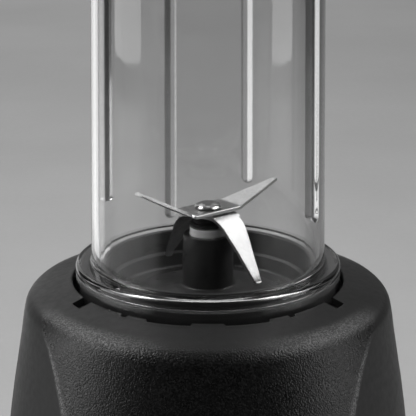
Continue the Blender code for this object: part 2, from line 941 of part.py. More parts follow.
def lower_blade():
    z = LOWER_PLATE_Z
    ribbon_blade(
        "lower_blade",
        (
            ((17.7, -17.0, -4.0), (18.6, -16.2, -4.0)),
            ((16.8, -16.8, -2.9), (18.9, -15.3, -2.6)),
            ((3.6, -9.2, 14.0), (12.0, -0.8, 14.0)),
            ((2.9, -8.5, 16.3), (11.3, -0.1, 16.3)),
            ((1.3, -6.9, z), (9.7, 1.5, z)),
            ((-9.7, -1.5, z), (-1.3, 6.9, z)),
            ((-11.3, 0.1, 16.3), (-2.9, 8.5, 16.3)),
            ((-12.0, 0.8, 14.0), (-3.6, 9.2, 14.0)),
            ((-15.7, 18.3, -3.4), (-13.4, 19.6, -3.6)),
            ((-15.2, 19.3, -4.9), (-14.2, 19.9, -5.0)),
        ),
    )


def blade_bolt():
    profile = (
        (0, 21.6),
        (2.6, 21.6),
        (3.4, 21.3),
        (3.7, 20.8),
        (4.5, 20.7),
        (4.7, 20.3),
        (4.7, 19.9),
        (2.5, 19.9),
        (2.5, 7.4),
        (0, 7.4),
    )
    turned("blade_bolt", profile, polished_steel(), 16)


def driven_coupling():
    profile = ((13.5, -17.4), (13.5, -20.2), (BUSH_IN_R, -20.2), (BUSH_IN_R, -17.4))
    coupling = turned("driven_coupling", profile, smooth_black(), 20, ring=True)
    boolean(coupling, dogs("driven_dogs", 0.0, -24.4, -19.4), "UNION")


# ---------------------------------------------------------------- cup


def cup_profile():
    def wall(height):
        return CUP_ROOT_R - CUP_DRAFT * (height - 2.9)

    top = CUP_TOP
    return (
        (0, top),
        (33.0, top),
        (36.4, top - 0.8),
        (38.0, top - 2.6),
        (wall(top - 5.5), top - 5.5),
        (wall(80.0), 80.0),
        (wall(4.6), 4.6),
        (42.0, 2.2),
        (43.4, 1.1),
        (45.9, 0.7),
        (46.8, 0.3),
        (FLANGE_R, -0.4),
        (FLANGE_R, NECK_BOTTOM + 0.4),
        (46.6, NECK_BOTTOM),
        (45.3, NECK_BOTTOM),
        (45.3, -2.6),
        (41.3, -2.6),
        (40.9, -3.0),
        (40.9, NECK_BOTTOM + 0.4),
        (40.5, NECK_BOTTOM),
        (38.8, NECK_BOTTOM),
        (38.8, 3.0),
        (wall(5.5) - CUP_WALL, 5.5),
        (wall(80.0) - CUP_WALL, 80.0),
        (wall(top - 6.0) - CUP_WALL, top - 6.0),
        (34.6, top - 3.4),
        (32.0, top - CUP_WALL),
        (0, top - CUP_WALL),
    )


def rib_points(angle, low):
    """A rib's rings of points, rounded off at its lower end, leaning in with the wall."""
    rings = []
    for height, width, reach in (
        (low, 1.4, 0.6),
        (low + 0.7, 3.0, 2.0),
        (low + 2.2, RIB_WIDTH, 2.9),
        (RIB_END, RIB_WIDTH, 2.9),
    ):
        inside = CUP_ROOT_R - CUP_DRAFT * (height - 2.9) - CUP_WALL
        rings.append(
            [
                (inside + 1.1, -width / 2),
                (inside + 1.1, width / 2),
                (inside - reach * 0.45, width / 2),
                (inside - reach * 0.85, width * 0.32),
                (inside - reach, 0.0),
                (inside - reach * 0.85, -width * 0.32),
                (inside - reach * 0.45, -width / 2),
            ]
        )
    heights = (low, low + 0.7, low + 2.2, RIB_END)
    turn = Matrix.Rotation(math.radians(angle), 4, "Z")
    points = []
    for ring, height in zip(rings, heights):
        points += [tuple(turn @ Vector((x, y, height + FLANGE_Z))) for x, y in ring]
    return points, len(rings[0])


def cup_ribs():
    points = []
    faces = []
    for angle, low in RIB_STARTS.items():
        rib, count = rib_points(angle, low)
        start = len(points)
        points += rib
        rows = len(rib) // count
        faces.append(tuple(start + i for i in range(count)))
        faces.append(tuple(start + (rows - 1) * count + i for i in reversed(range(count))))
        for row in range(rows - 1):
            a = start + row * count
            for i in range(count):
                n = (i + 1) % count
                faces.append((a + i, a + count + i, a + count + n, a + n))
    return add_object("cup_ribs", mesh_from("cup_ribs", points, faces), None, True)


def clear_cup():
    cup = turned("clear_cup", cup_profile(), clear_plastic(), 36)
    boolean(cup, cup_ribs(), "UNION")
    tabs = [
        raised(arc_block(46.0, TAB_OUT_R, a - TAB_HALF, a + TAB_HALF, NECK_BOTTOM + 0.05, TAB_TOP, 1))
        for a in TAB_ANGLES
    ]
    boolean(cup, arc_blocks("cup_tabs", tabs), "UNION")


def build():
    base_housing()
    cup_seat()
    bottom_cover()
    feet()
    cover_screws()
    cord_gland()
    mount_rings()
    brackets()
    bearings()
    stator_core()
    field_coils()
    brushes()
    control_board()
    microswitches()
    interlock_plungers()
    interlock_springs()
    motor_shaft()
    armature_core()
    armature_windings()
    commutator()
    cooling_fan()
    drive_coupling()
    blade_holder()
    holder_gasket()
    post_bushes()
    spindle()
    spacer()
    upper_blade()
    lower_blade()
    blade_bolt()
    driven_coupling()
    clear_cup()


build()
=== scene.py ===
"""Countertop blender: the visual model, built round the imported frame.

Lengths in the shape functions are in millimetres, and heights are measured from the edge of the cup's
flange. Angles go round the axis from the front, towards +X, in degrees.
"""

import json
import math

import bmesh
import bpy
import numpy as np
from mathutils import Matrix, Vector


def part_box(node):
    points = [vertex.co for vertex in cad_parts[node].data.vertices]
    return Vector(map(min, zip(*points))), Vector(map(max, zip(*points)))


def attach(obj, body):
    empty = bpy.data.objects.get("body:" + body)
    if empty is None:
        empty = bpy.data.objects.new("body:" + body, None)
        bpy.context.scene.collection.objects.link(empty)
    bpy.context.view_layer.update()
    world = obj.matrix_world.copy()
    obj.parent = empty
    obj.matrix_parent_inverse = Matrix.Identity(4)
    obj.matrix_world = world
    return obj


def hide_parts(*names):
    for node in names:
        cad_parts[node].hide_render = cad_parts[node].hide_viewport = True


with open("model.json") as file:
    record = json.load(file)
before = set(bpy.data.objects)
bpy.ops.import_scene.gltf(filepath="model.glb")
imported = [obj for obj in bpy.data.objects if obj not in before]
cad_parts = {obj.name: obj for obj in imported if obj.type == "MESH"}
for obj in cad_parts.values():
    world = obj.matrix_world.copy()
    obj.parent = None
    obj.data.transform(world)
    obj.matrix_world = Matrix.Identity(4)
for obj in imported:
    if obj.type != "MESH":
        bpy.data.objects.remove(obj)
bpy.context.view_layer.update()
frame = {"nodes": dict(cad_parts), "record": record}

MM = 0.001
NECK_BOTTOM = -13.0
FLANGE_R = 47.0
FLANGE_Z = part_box("clear_cup")[0].z / MM - NECK_BOTTOM
CUP_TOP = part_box("clear_cup")[1].z / MM - FLANGE_Z
BODY_OF = {node: body for body, nodes in frame["record"]["behaviour"]["bodies"].items() for node in nodes}

TABS = (-58.0, 58.0, 180.0)
TAB_HALF = 2.5
TAB_REACH = 5.6
TAB_TOP = -11.4
# Angle of each rib, and the height at which its lower end starts to round off.
RIBS = {67.0: 21.2, 157.0: 21.2, 202.0: 7.2, 256.0: 21.2}
RIB_DEPTH = 2.9
RIB_TOP = 157.0
CUP_WALL = 2.5
NECK_IN_R = 38.8
NECK_OUT_R = 40.9
THREAD_PITCH = 3.2
THREAD_DEPTH = 0.28
SCREW_ANGLES = {"front_left": -70.0, "front_right": 70.0, "back_left": -110.0, "back_right": 110.0}
SCREW_PITCH_R = 66.0
FOOT_XY = 45.0
GLAND_RISE = 22.0
# Attributes painted on the housing: its grain, and a painted highlight on the creases and shoulder.
GRAIN = "grain"
PAINTED_HIGHLIGHT = "painted_highlight"


# ---------------------------------------------------------------- node helpers


def new_material(name):
    finish = bpy.data.materials.new(name)
    finish.use_nodes = True
    finish.node_tree.nodes.clear()
    return finish


class Tree:
    """Short calls for the nodes that the finishes share."""

    def __init__(self, finish):
        self.tree = finish.node_tree
        self.out = self.add("ShaderNodeOutputMaterial")
        self.coords = self.add("ShaderNodeTexCoord").outputs["Object"]

    def add(self, kind, **values):
        node = self.tree.nodes.new(kind)
        for key, value in values.items():
            setattr(node, key, value)
        return node

    def link(self, source, target):
        self.tree.links.new(source, target)

    def stretched(self, scale, turn=(0.0, 0.0, 0.0)):
        node = self.add("ShaderNodeMapping")
        node.inputs["Scale"].default_value = scale
        node.inputs["Rotation"].default_value = [math.radians(a) for a in turn]
        self.link(self.coords, node.inputs["Vector"])
        return node.outputs["Vector"]

    def noise(self, scale, detail=4.0, rough=0.55, vector=None, distortion=0.0):
        node = self.add("ShaderNodeTexNoise")
        node.inputs["Scale"].default_value = scale
        node.inputs["Detail"].default_value = detail
        node.inputs["Roughness"].default_value = rough
        node.inputs["Distortion"].default_value = distortion
        self.link(vector or self.coords, node.inputs["Vector"])
        return node.outputs["Fac"]

    def cells(self, scale):
        node = self.add("ShaderNodeTexVoronoi", feature="SMOOTH_F1")
        node.inputs["Scale"].default_value = scale
        self.link(self.coords, node.inputs["Vector"])
        return node.outputs["Distance"]

    def ranged(self, value, low, high, start=0.3, end=0.7):
        node = self.add("ShaderNodeMapRange")
        node.inputs["From Min"].default_value = start
        node.inputs["From Max"].default_value = end
        node.inputs["To Min"].default_value = low
        node.inputs["To Max"].default_value = high
        self.link(value, node.inputs["Value"])
        return node.outputs["Result"]

    def maths(self, operation, first, second):
        node = self.add("ShaderNodeMath", operation=operation)
        for socket, value in zip(node.inputs, (first, second)):
            if isinstance(value, float):
                socket.default_value = value
            else:
                self.link(value, socket)
        return node.outputs["Value"]

    def tones(self, value, stops):
        node = self.add("ShaderNodeValToRGB")
        ramp = node.color_ramp
        while len(ramp.elements) < len(stops):
            ramp.elements.new(0.5)
        for element, (place, tone) in zip(ramp.elements, stops):
            element.position = place
            element.color = tone_colour(tone)
        self.link(value, node.inputs["Fac"])
        return node.outputs["Color"]

    def bump(self, height, strength, distance, below=None):
        node = self.add("ShaderNodeBump")
        node.inputs["Strength"].default_value = strength
        node.inputs["Distance"].default_value = distance
        self.link(height, node.inputs["Height"])
        if below is not None:
            self.link(below, node.inputs["Normal"])
        return node.outputs["Normal"]

    def turned_coords(self, scale):
        """Distance from the axis and height, so that a pattern runs in rings."""
        parts = self.add("ShaderNodeSeparateXYZ")
        self.link(self.coords, parts.inputs[0])
        x2 = self.maths("MULTIPLY", parts.outputs["X"], parts.outputs["X"])
        y2 = self.maths("MULTIPLY", parts.outputs["Y"], parts.outputs["Y"])
        radius = self.maths("SQRT", self.maths("ADD", x2, y2), 0.0)
        both = self.add("ShaderNodeCombineXYZ")
        self.link(self.maths("MULTIPLY", radius, scale), both.inputs["X"])
        self.link(self.maths("MULTIPLY", parts.outputs["Z"], scale), both.inputs["Y"])
        return both.outputs["Vector"]

    def principled(self, colour=None, roughness=None, normal=None, **constants):
        node = self.add("ShaderNodeBsdfPrincipled")
        for key, value in constants.items():
            node.inputs[key.replace("_", " ")].default_value = value
        for key, value in (("Base Color", colour), ("Roughness", roughness), ("Normal", normal)):
            if value is not None:
                self.link(value, node.inputs[key])
        return node.outputs["BSDF"]

    def mixed(self, share, first, second):
        node = self.add("ShaderNodeMixShader")
        self.link(share, node.inputs[0])
        self.link(first, node.inputs[1])
        self.link(second, node.inputs[2])
        return node.outputs["Shader"]

    def finish(self, shader):
        self.link(shader, self.out.inputs["Surface"])


def tone_colour(tone):
    """A grey from one number, or a colour from three."""
    if isinstance(tone, tuple):
        return (*tone, 1.0)
    return (tone, tone, tone, 1.0)


# ---------------------------------------------------------------- finishes


def grained_black():
    """Moulded black plastic with a leather grain; its creases and shoulder carry a painted highlight and are
    shiny.
    """
    finish = new_material("grained_black_plastic")
    t = Tree(finish)
    grained = t.add("ShaderNodeAttribute", attribute_name=GRAIN).outputs["Fac"]
    # Mask of the painted highlight on the creases and shoulder.
    painted_highlight = t.add("ShaderNodeAttribute", attribute_name=PAINTED_HIGHLIGHT).outputs["Fac"]
    broad = t.noise(38.0, 5.0, 0.6)
    wander = t.noise(420.0, 2.0, 0.5)
    pebble = t.cells(1850.0)
    fine = t.noise(4600.0, 3.0, 0.6)
    height = t.maths("SUBTRACT", t.maths("MULTIPLY", fine, 0.2), pebble)
    height = t.maths("MULTIPLY", height, t.ranged(grained, 0.06, 1.0, 0.0, 1.0))
    grit = t.ranged(t.noise(1700.0, 1.0, 0.5), 0.2, 1.0, 0.44, 0.6)
    # Painted highlight: pale colour along the crease lines and the shoulder, broken up by the grit noise.
    # The speck and broad tone added next are the grain's own colour.
    pale = t.maths("MULTIPLY", t.maths("MULTIPLY", grit, painted_highlight), t.ranged(broad, 0.8, 1.0))
    speck = t.maths("MULTIPLY", t.ranged(grit, 0.0, 0.1, 0.5, 1.0), grained)
    pale = t.maths("ADD", t.maths("ADD", pale, speck), t.ranged(broad, 0.0, 0.03))
    colour = t.tones(pale, ((0.0, 0.004), (0.1, 0.02), (1.0, 0.16)))
    rough = t.maths("ADD", t.ranged(broad, 0.46, 0.52), t.ranged(wander, -0.03, 0.05))
    rough = t.maths("SUBTRACT", rough, t.ranged(grained, 0.0, 0.2, 0.0, 1.0))
    normal = t.bump(height, 0.85, 0.0002)
    t.finish(t.principled(colour, rough, normal, Specular_IOR_Level=0.42))
    return finish


def smooth_black():
    """Glossier moulded plastic with flow marks and hair scratches."""
    finish = new_material("smooth_black_plastic")
    t = Tree(finish)
    flow = t.noise(55.0, 4.0, 0.6, distortion=1.2)
    hairs = t.noise(9.0, 6.0, 0.75, t.stretched((900.0, 60.0, 300.0), (0, 0, 37)))
    fine = t.noise(1500.0, 3.0, 0.5)
    colour = t.tones(flow, ((0.3, 0.028), (0.7, 0.044)))
    rough = t.maths("ADD", t.ranged(flow, 0.26, 0.34), t.ranged(hairs, 0.0, 0.09, 0.45, 0.7))
    normal = t.bump(fine, 0.1, 0.0001, t.bump(hairs, 0.08, 0.0001))
    t.finish(t.principled(colour, rough, normal))
    return finish


def clear_plastic():
    """Clear cup plastic, faintly smoky, with light wear.

    Rays refract in the first two walls, and on the way out of any. Otherwise the plastic only tints.
    """
    finish = new_material("clear_cup_plastic")
    t = Tree(finish)
    wear = t.noise(34.0, 6.0, 0.65)
    hairs = t.noise(5.0, 7.0, 0.8, t.stretched((420.0, 420.0, 26.0), (0, 8, 0)))
    colour = t.tones(wear, ((0.3, 0.9), (0.7, 0.94)))
    rough = t.maths("ADD", t.ranged(wear, 0.0, 0.012), t.ranged(hairs, 0.0, 0.04, 0.6, 0.7))
    normal = t.bump(hairs, 0.03, 0.00008)
    glass = t.principled(colour, rough, normal, Transmission_Weight=1.0, IOR=1.49, Specular_IOR_Level=0.3)
    path = t.add("ShaderNodeLightPath")
    clear = t.add("ShaderNodeBsdfTransparent")
    clear.inputs["Color"].default_value = tone_colour(0.92)
    clear = clear.outputs["BSDF"]
    depth = path.outputs["Transmission Depth"]
    in_wall = t.maths("MAXIMUM", t.maths("MODULO", depth, 2.0), t.maths("LESS_THAN", depth, 3.5))
    glossy = t.mixed(in_wall, clear, glass)
    seen = t.mixed(path.outputs["Is Glossy Ray"], glass, glossy)
    seen = t.mixed(path.outputs["Is Diffuse Ray"], seen, clear)
    t.finish(t.mixed(path.outputs["Is Shadow Ray"], seen, clear))
    return finish


def black_rubber():
    """Dull rubber with a fine pitted skin."""
    finish = new_material("black_rubber")
    t = Tree(finish)
    broad = t.noise(120.0, 4.0, 0.6)
    fine = t.noise(1900.0, 4.0, 0.7)
    colour = t.tones(broad, ((0.3, 0.009), (0.75, 0.022)))
    rough = t.ranged(fine, 0.5, 0.74)
    t.finish(t.principled(colour, rough, t.bump(fine, 0.25, 0.0001), Specular_IOR_Level=0.35))
    return finish


def brushed_steel():
    """Sheet steel, brushed along one direction, with faint smudges."""
    finish = new_material("brushed_blade_steel")
    t = Tree(finish)
    lines = t.noise(6.0, 6.0, 0.7, t.stretched((24.0, 1500.0, 1500.0), (0, 0, 33)))
    smudge = t.noise(90.0, 4.0, 0.6)
    colour = t.tones(lines, ((0.25, 0.52), (0.75, 0.72)))
    rough = t.maths("ADD", t.ranged(lines, 0.2, 0.36), t.ranged(smudge, -0.03, 0.06))
    normal = t.bump(lines, 0.12, 0.00005)
    t.finish(t.principled(colour, rough, normal, Metallic=1.0))
    return finish


def turned_metal(name, dark, light, rough):
    """Metal turned on a lathe: its marks run in rings."""
    finish = new_material(name)
    t = Tree(finish)
    rings = t.noise(1.0, 4.0, 0.6, t.turned_coords(5200.0))
    smudge = t.noise(160.0, 4.0, 0.6)
    colour = t.tones(rings, ((0.25, dark), (0.75, light)))
    roughness = t.maths("ADD", t.ranged(rings, *rough), t.ranged(smudge, -0.02, 0.05))
    normal = t.bump(rings, 0.12, 0.00003)
    t.finish(t.principled(colour, roughness, normal, Metallic=1.0))
    return finish


def mottled(name, dark, light, rough, scale, bump=0.15, metallic=0.0):
    """Cast, moulded or printed surface with grain of its own."""
    finish = new_material(name)
    t = Tree(finish)
    broad = t.noise(scale, 5.0, 0.6)
    fine = t.noise(scale * 9.0, 4.0, 0.65)
    colour = t.tones(broad, ((0.28, dark), (0.72, light)))
    roughness = t.ranged(fine, *rough)
    normal = t.bump(fine, bump, 0.0001)
    t.finish(t.principled(colour, roughness, normal, Metallic=metallic))
    return finish


def laminated():
    """Thin steel sheets stacked along the axis."""
    finish = new_material("stacked_sheet_steel")
    t = Tree(finish)
    sheets = t.noise(1.0, 2.0, 0.5, t.stretched((40.0, 40.0, 2000.0)))
    broad = t.noise(90.0, 4.0, 0.6)
    colour = t.tones(sheets, ((0.35, 0.1), (0.65, 0.26)))
    rough = t.maths("ADD", t.ranged(broad, 0.35, 0.5), t.ranged(sheets, 0.0, 0.1))
    t.finish(t.principled(colour, rough, t.bump(sheets, 0.4, 0.0002), Metallic=1.0))
    return finish


def wound_copper():
    """Enamelled wire laid in turns."""
    finish = new_material("wound_copper_wire")
    t = Tree(finish)
    turns = t.noise(1.0, 1.0, 0.3, t.stretched((80.0, 80.0, 1500.0), (4, 3, 0)))
    broad = t.noise(150.0, 4.0, 0.6)
    colour = t.tones(turns, ((0.3, (0.2, 0.06, 0.022)), (0.7, (0.62, 0.25, 0.1))))
    rough = t.maths("ADD", t.ranged(turns, 0.3, 0.22), t.ranged(broad, 0.0, 0.15))
    t.finish(t.principled(colour, rough, t.bump(turns, 0.6, 0.0003), Metallic=0.9))
    return finish


FINISH = {
    "grained_black": grained_black(),
    "smooth_black": smooth_black(),
    "clear_plastic": clear_plastic(),
    "black_rubber": black_rubber(),
    "blade_steel": brushed_steel(),
    "polished_steel": turned_metal("polished_turned_steel", 0.55, 0.72, (0.08, 0.2)),
    "brushed_bush": turned_metal("brushed_bush_steel", 0.8, 0.95, (0.55, 0.72)),
    "shaft_steel": turned_metal("ground_shaft_steel", 0.38, 0.55, (0.18, 0.32)),
    "lamination_steel": laminated(),
    "bracket_steel": mottled("zinc_plated_steel", 0.42, 0.6, (0.28, 0.46), 240.0, 0.1, 1.0),
    "sintered_bronze": mottled(
        "sintered_bronze", (0.2, 0.12, 0.05), (0.42, 0.27, 0.12), (0.35, 0.6), 700.0, 0.3, 1.0
    ),
    "copper": wound_copper(),
    "carbon": mottled("brush_carbon", 0.018, 0.045, (0.45, 0.7), 500.0, 0.25),
    "brass": turned_metal("turned_brass", (0.46, 0.3, 0.1), (0.72, 0.5, 0.2), (0.2, 0.35)),
    "board_green": mottled("printed_board", (0.01, 0.09, 0.03), (0.03, 0.17, 0.06), (0.3, 0.5), 130.0),
    "component_plastic": mottled(
        "component_plastic", (0.02, 0.05, 0.13), (0.05, 0.1, 0.24), (0.3, 0.5), 300.0
    ),
    "nylon": mottled("black_nylon", 0.012, 0.028, (0.34, 0.5), 260.0, 0.12),
}


# ---------------------------------------------------------------- shape helpers


def polar(radius, angle, height):
    """A point in millimetres, in the row frame, at an angle from the front."""
    a = np.radians(angle)
    return np.stack(np.broadcast_arrays(radius * np.sin(a), -radius * np.cos(a), height + FLANGE_Z), -1)


def arc_point(start, corner, end, share):
    """A point on the curve that rounds a corner between two places on its sides."""
    return (1 - share) ** 2 * start + 2 * share * (1 - share) * corner + share * share * end


def rounded(corners, closed=True, steps=5):
    """Corners (radius, height, fillet) of an outline, each turned by an arc of its fillet."""
    out = []
    count = len(corners)
    for i, corner in enumerate(corners):
        here = np.array(corner[:2], float)
        fillet = corner[2] if len(corner) > 2 else 0.0
        if fillet <= 0.0 or (not closed and i in (0, count - 1)):
            out.append(here)
            continue
        back = np.array(corners[i - 1][:2], float) - here
        ahead = np.array(corners[(i + 1) % count][:2], float) - here
        far_back, far_ahead = np.linalg.norm(back), np.linalg.norm(ahead)
        back, ahead = back / far_back, ahead / far_ahead
        half = math.acos(max(-1.0, min(1.0, float(back @ ahead)))) / 2
        reach = min(fillet / math.tan(half), 0.49 * far_back, 0.49 * far_ahead)
        for k in range(steps + 1):
            out.append(arc_point(here + back * reach, here, here + ahead * reach, k / steps))
    return np.array(out)


def sheet_mesh(name, points, wrap_rows, finish, sharp=38.0):
    """A mesh over a grid of points in millimetres, wrapped round in its columns."""
    rows, cols = points.shape[:2]
    index = np.arange(rows * cols).reshape(rows, cols)
    here = index if wrap_rows else index[:-1]
    below = np.roll(index, -1, 0) if wrap_rows else index[1:]
    faces = np.stack([here, np.roll(here, -1, 1), np.roll(below, -1, 1), below], -1).reshape(-1, 4)
    mesh = bpy.data.meshes.new(name)
    mesh.from_pydata((points.reshape(-1, 3) * MM).tolist(), [], faces.tolist())
    return clean_object(name, mesh, finish, sharp)


def clean_object(name, mesh, finish, sharp=38.0):
    bm = bmesh.new()
    bm.from_mesh(mesh)
    bmesh.ops.remove_doubles(bm, verts=bm.verts, dist=2e-7)
    bmesh.ops.dissolve_degenerate(bm, edges=bm.edges, dist=1e-8)
    bmesh.ops.recalc_face_normals(bm, faces=bm.faces)
    bm.to_mesh(mesh)
    bm.free()
    obj = bpy.data.objects.new(name, mesh)
    bpy.context.scene.collection.objects.link(obj)
    mesh.materials.append(FINISH[finish])
    shade(obj, sharp)
    return obj


def shade(obj, sharp=38.0):
    obj.data.shade_smooth()
    obj.data.set_sharp_from_angle(angle=math.radians(sharp))


def revolve(name, corners, finish, steps=128, closed=True, base=None, centre=(0.0, 0.0)):
    """A turned shape from corners (radius, height, fillet); with a base, heights count from there."""
    outline = rounded(corners, closed)
    angles = np.arange(steps) * 360.0 / steps
    points = polar(outline[:, :1], angles[None, :], outline[:, 1:])
    if base is not None:
        points[..., 2] += base - FLANGE_Z
    points[..., 0] += centre[0]
    points[..., 1] += centre[1]
    return sheet_mesh(name, points, closed, finish)


def tube_mesh(name, rows, finish, sharp=38.0):
    """A mesh through rows of points in millimetres, each row one ring, with both ends closed."""
    count, last = rows.shape[1], len(rows) - 1
    faces = [tuple(range(count)), tuple(last * count + k for k in reversed(range(count)))]
    for i in range(last):
        for k in range(count):
            n = (k + 1) % count
            faces.append((i * count + k, (i + 1) * count + k, (i + 1) * count + n, i * count + n))
    mesh = bpy.data.meshes.new(name)
    mesh.from_pydata((rows.reshape(-1, 3) * MM).tolist(), [], faces)
    return clean_object(name, mesh, finish, sharp)


def stand_for(obj, slot, *nodes):
    """The piece rides on the body of the CAD nodes that it replaces."""
    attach(obj, BODY_OF[nodes[0]])
    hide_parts(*nodes)
    return obj


def applied(obj):
    """Replaces an object's mesh by its modifiers' result."""
    bpy.context.view_layer.update()
    graph = bpy.context.evaluated_depsgraph_get()
    mesh = bpy.data.meshes.new_from_object(obj.evaluated_get(graph))
    obj.modifiers.clear()
    old = obj.data
    obj.data = mesh
    bpy.data.meshes.remove(old)
    return mesh


def cut(obj, cutter, operation="DIFFERENCE", sharp=38.0):
    """Applies one Boolean and removes the cutter."""
    step = obj.modifiers.new("Cut", "BOOLEAN")
    step.operation = operation
    step.solver = "EXACT"
    step.object = cutter
    mesh = applied(obj)
    bpy.data.objects.remove(cutter)
    while len(mesh.materials) > 1:
        mesh.materials.pop()
    mesh.polygons.foreach_set("material_index", [0] * len(mesh.polygons))
    shade(obj, sharp)


def smoothstep(low, high, value):
    s = np.clip((value - low) / (high - low), 0.0, 1.0)
    return s * s * (3.0 - 2.0 * s)


def folded(angle):
    """Angle from the front, from -180 to 180."""
    return (np.asarray(angle, float) + 180.0) % 360.0 - 180.0


def window(angle, low, high, soft=0.35):
    """1 between two angles, 0 outside, with soft sides."""
    return smoothstep(low - soft, low + soft, angle) * (1.0 - smoothstep(high - soft, high + soft, angle))


def columns(base_step, zones):
    """Angles round the axis: an even spread, and a finer one in each zone (middle, half width, step)."""
    angles = list(np.arange(0.0, 360.0, base_step))
    for middle, half, step in zones:
        angles = [a for a in angles if abs(folded(a - middle)) > half + step * 0.5]
        angles += [(middle + d) % 360.0 for d in np.arange(-half, half + step * 0.5, step)]
    return np.array(sorted(set(np.round(angles, 4))))


# ---------------------------------------------------------------- housing

HOUSING_WALL = 2.5
DECK_EDGE_R = 48.2
DECK_EDGE_Z = -5.9
DECK_END_R = 56.0
DECK_END_Z = -8.2
DECK_LIP = 0.45
# The housing's columns are set out as if the crease stood at this angle.
CREASE_COLUMN = 66.0
CREASE_HEIGHTS = (-148.0, -110.0, -80.0, -60.0, -37.0, -33.0, -25.0, -18.0, -13.0, -9.0)
CREASE_ANGLES = (29.0, 31.0, 33.5, 36.0, 41.5, 43.2, 47.5, 53.0, 60.0, 66.0)
HOLLOW_DEPTHS = (3.0, 4.2, 4.6, 4.4, 3.2, 2.8, 1.9, 1.0, 0.4, 0.0)
SHOULDER = (
    (DECK_END_R, DECK_END_Z),
    (60.2, -9.5),
    (62.9, -10.7),
    (64.9, -12.9),
    (66.2, -16.2),
    (68.4, -24.0),
    (72.0, -37.0),
    (74.4, -48.0),
    (76.6, -60.0),
    (78.9, -80.0),
    (80.3, -108.0),
    (80.7, -135.0),
)


def through(places, per_span):
    """A smooth line through points, by Catmull-Rom."""
    p = np.array(places, float)
    p = np.vstack([2 * p[0] - p[1], p, 2 * p[-1] - p[-2]])
    out = []
    for i in range(1, len(p) - 2):
        for k in range(per_span):
            s = k / per_span
            out.append(
                0.5
                * (
                    2 * p[i]
                    + (p[i + 1] - p[i - 1]) * s
                    + (2 * p[i - 1] - 5 * p[i] + 4 * p[i + 1] - p[i + 2]) * s * s
                    + (3 * p[i] - p[i - 1] - 3 * p[i + 1] + p[i + 2]) * s**3
                )
            )
    out.append(p[-2])
    return np.array(out)


def deck_columns():
    """Angles of a quarter of the deck, closer together at the notches' sides and at the crease."""
    marks = (3.6, 6.4, 24.4, 33.2, 35.8, 54.4, 61.6)
    angles = list(np.arange(0.0, 90.1, 1.5))
    for mark in marks:
        angles = [a for a in angles if abs(a - mark) > 0.9]
        angles += [mark + d for d in (-0.75, -0.35, -0.12, 0.12, 0.35, 0.75)]
    angles = [a for a in angles if abs(a - CREASE_COLUMN) > 3.4]
    angles += [CREASE_COLUMN + d for d in (-3.2, -2.4, -1.8, -1.3, -0.9, -0.6, -0.3, 0.0)]
    angles += [CREASE_COLUMN + d for d in (0.12, 0.25, 0.4, 0.6, 0.8, 1.1, 1.5, 2.0, 2.6, 3.2)]
    return sorted(angles)


def housing_angles(crease, quarter):
    """The quarter's angles squeezed so that the crease's column runs down the crease."""
    q = np.array(quarter)
    on_panel = q * crease / CREASE_COLUMN
    on_side = 90.0 - (90.0 - q) * (90.0 - crease) / (90.0 - CREASE_COLUMN)
    moved = np.where(q <= CREASE_COLUMN, on_panel, on_side)
    half = np.concatenate([moved, 180.0 - moved[::-1][1:]])
    return np.concatenate([half, 360.0 - half[::-1][1:-1]])


def hollowed(radius, height, angles, crease):
    """The panel's radius, less the side's hollow, which meets the panel at a soft crease."""
    depth = np.interp(height, CREASE_HEIGHTS, HOLLOW_DEPTHS)
    from_side = np.abs(np.abs(folded(angles)) - 90.0)
    share = from_side / (90.0 - crease)
    firm = 40.0
    return radius - depth * np.logaddexp(0.0, firm * (1.0 - share**4)) / firm


def deck_edge(angles):
    """Radius of the opening in the deck: notches for the tabs, relief slots and two nicks."""
    a = folded(angles)
    edge = np.full(a.shape, DECK_EDGE_R)
    for tab in TABS:
        edge += 4.65 * window(folded(a - tab), -3.1, 3.1)
    for side in (-1, 1):
        edge += 1.3 * window(a * side, 6.4, 24.4)
        edge += 1.2 * window(a * side, 33.2, 35.8)
    return edge


def deck_height(radius):
    return DECK_EDGE_Z + (DECK_END_Z - DECK_EDGE_Z) * (radius - DECK_EDGE_R) / (DECK_END_R - DECK_EDGE_R)


def deck_rows(quarter):
    """Rows from under the deck's edge, round its lip, to the start of the shoulder."""
    angles = housing_angles(CREASE_COLUMN, quarter)
    edge = deck_edge(angles)
    top = deck_height(edge)
    steps = [(edge + 0.15, top - 2.6), (edge + 0.02, top - 2.4), (edge, top - 2.0), (edge, top - 1.2)]
    for share in (0.0, 0.25, 0.5, 0.75, 1.0):
        turn = share * math.pi / 2
        steps.append((edge + DECK_LIP * (1 - math.cos(turn)), top - DECK_LIP * (1 - math.sin(turn))))
    for share in (0.12, 0.3, 0.5, 0.75):
        reach = edge + DECK_LIP + (DECK_END_R - edge - DECK_LIP) * share
        steps.append((reach, deck_height(reach)))
    return [polar(reach, angles, height) for reach, height in steps]


def housing_shell():
    """The housing: its deck, the flared outside down to the foot, and the inside back up."""
    quarter = deck_columns()
    line = through(SHOULDER, 6)
    foot = rounded([(80.7, -135.0), (80.45, -148.0, 1.6), (77.9, -148.0, 0.6), (78.0, -144.0)], False, 6)
    outline = [*line, *foot[1:-1]]
    for i in range(len(line) - 1, 0, -1):
        along = line[i] - line[i - 1]
        along /= np.linalg.norm(along)
        outline.append(line[i] + HOUSING_WALL * np.array([along[1], -along[0]]))
    rows = deck_rows(quarter)
    for radius, height in outline:
        crease = float(np.interp(height, CREASE_HEIGHTS, CREASE_ANGLES))
        angles = housing_angles(crease, quarter)
        rows.append(polar(hollowed(radius, height, angles, crease), angles, height))
    shell = sheet_mesh("housing_shell", np.array(rows), True, "grained_black", 42.0)
    paint_grain(shell)
    hole = revolve("gland_hole", [(0, 70), (6.3, 70), (6.3, 90), (0, 90)], "grained_black", 48, False, 0.0)
    hole.matrix_world = gland_place()
    cut(shell, hole, sharp=42.0)
    return stand_for(shell, "grained_black", "base_housing")


def gland_place():
    """Lays a shape turned about the vertical axis along the cord inlet's axis."""
    return Matrix.Translation((0, 0, GLAND_RISE * MM)) @ Matrix.Rotation(-math.pi / 2, 4, "X")


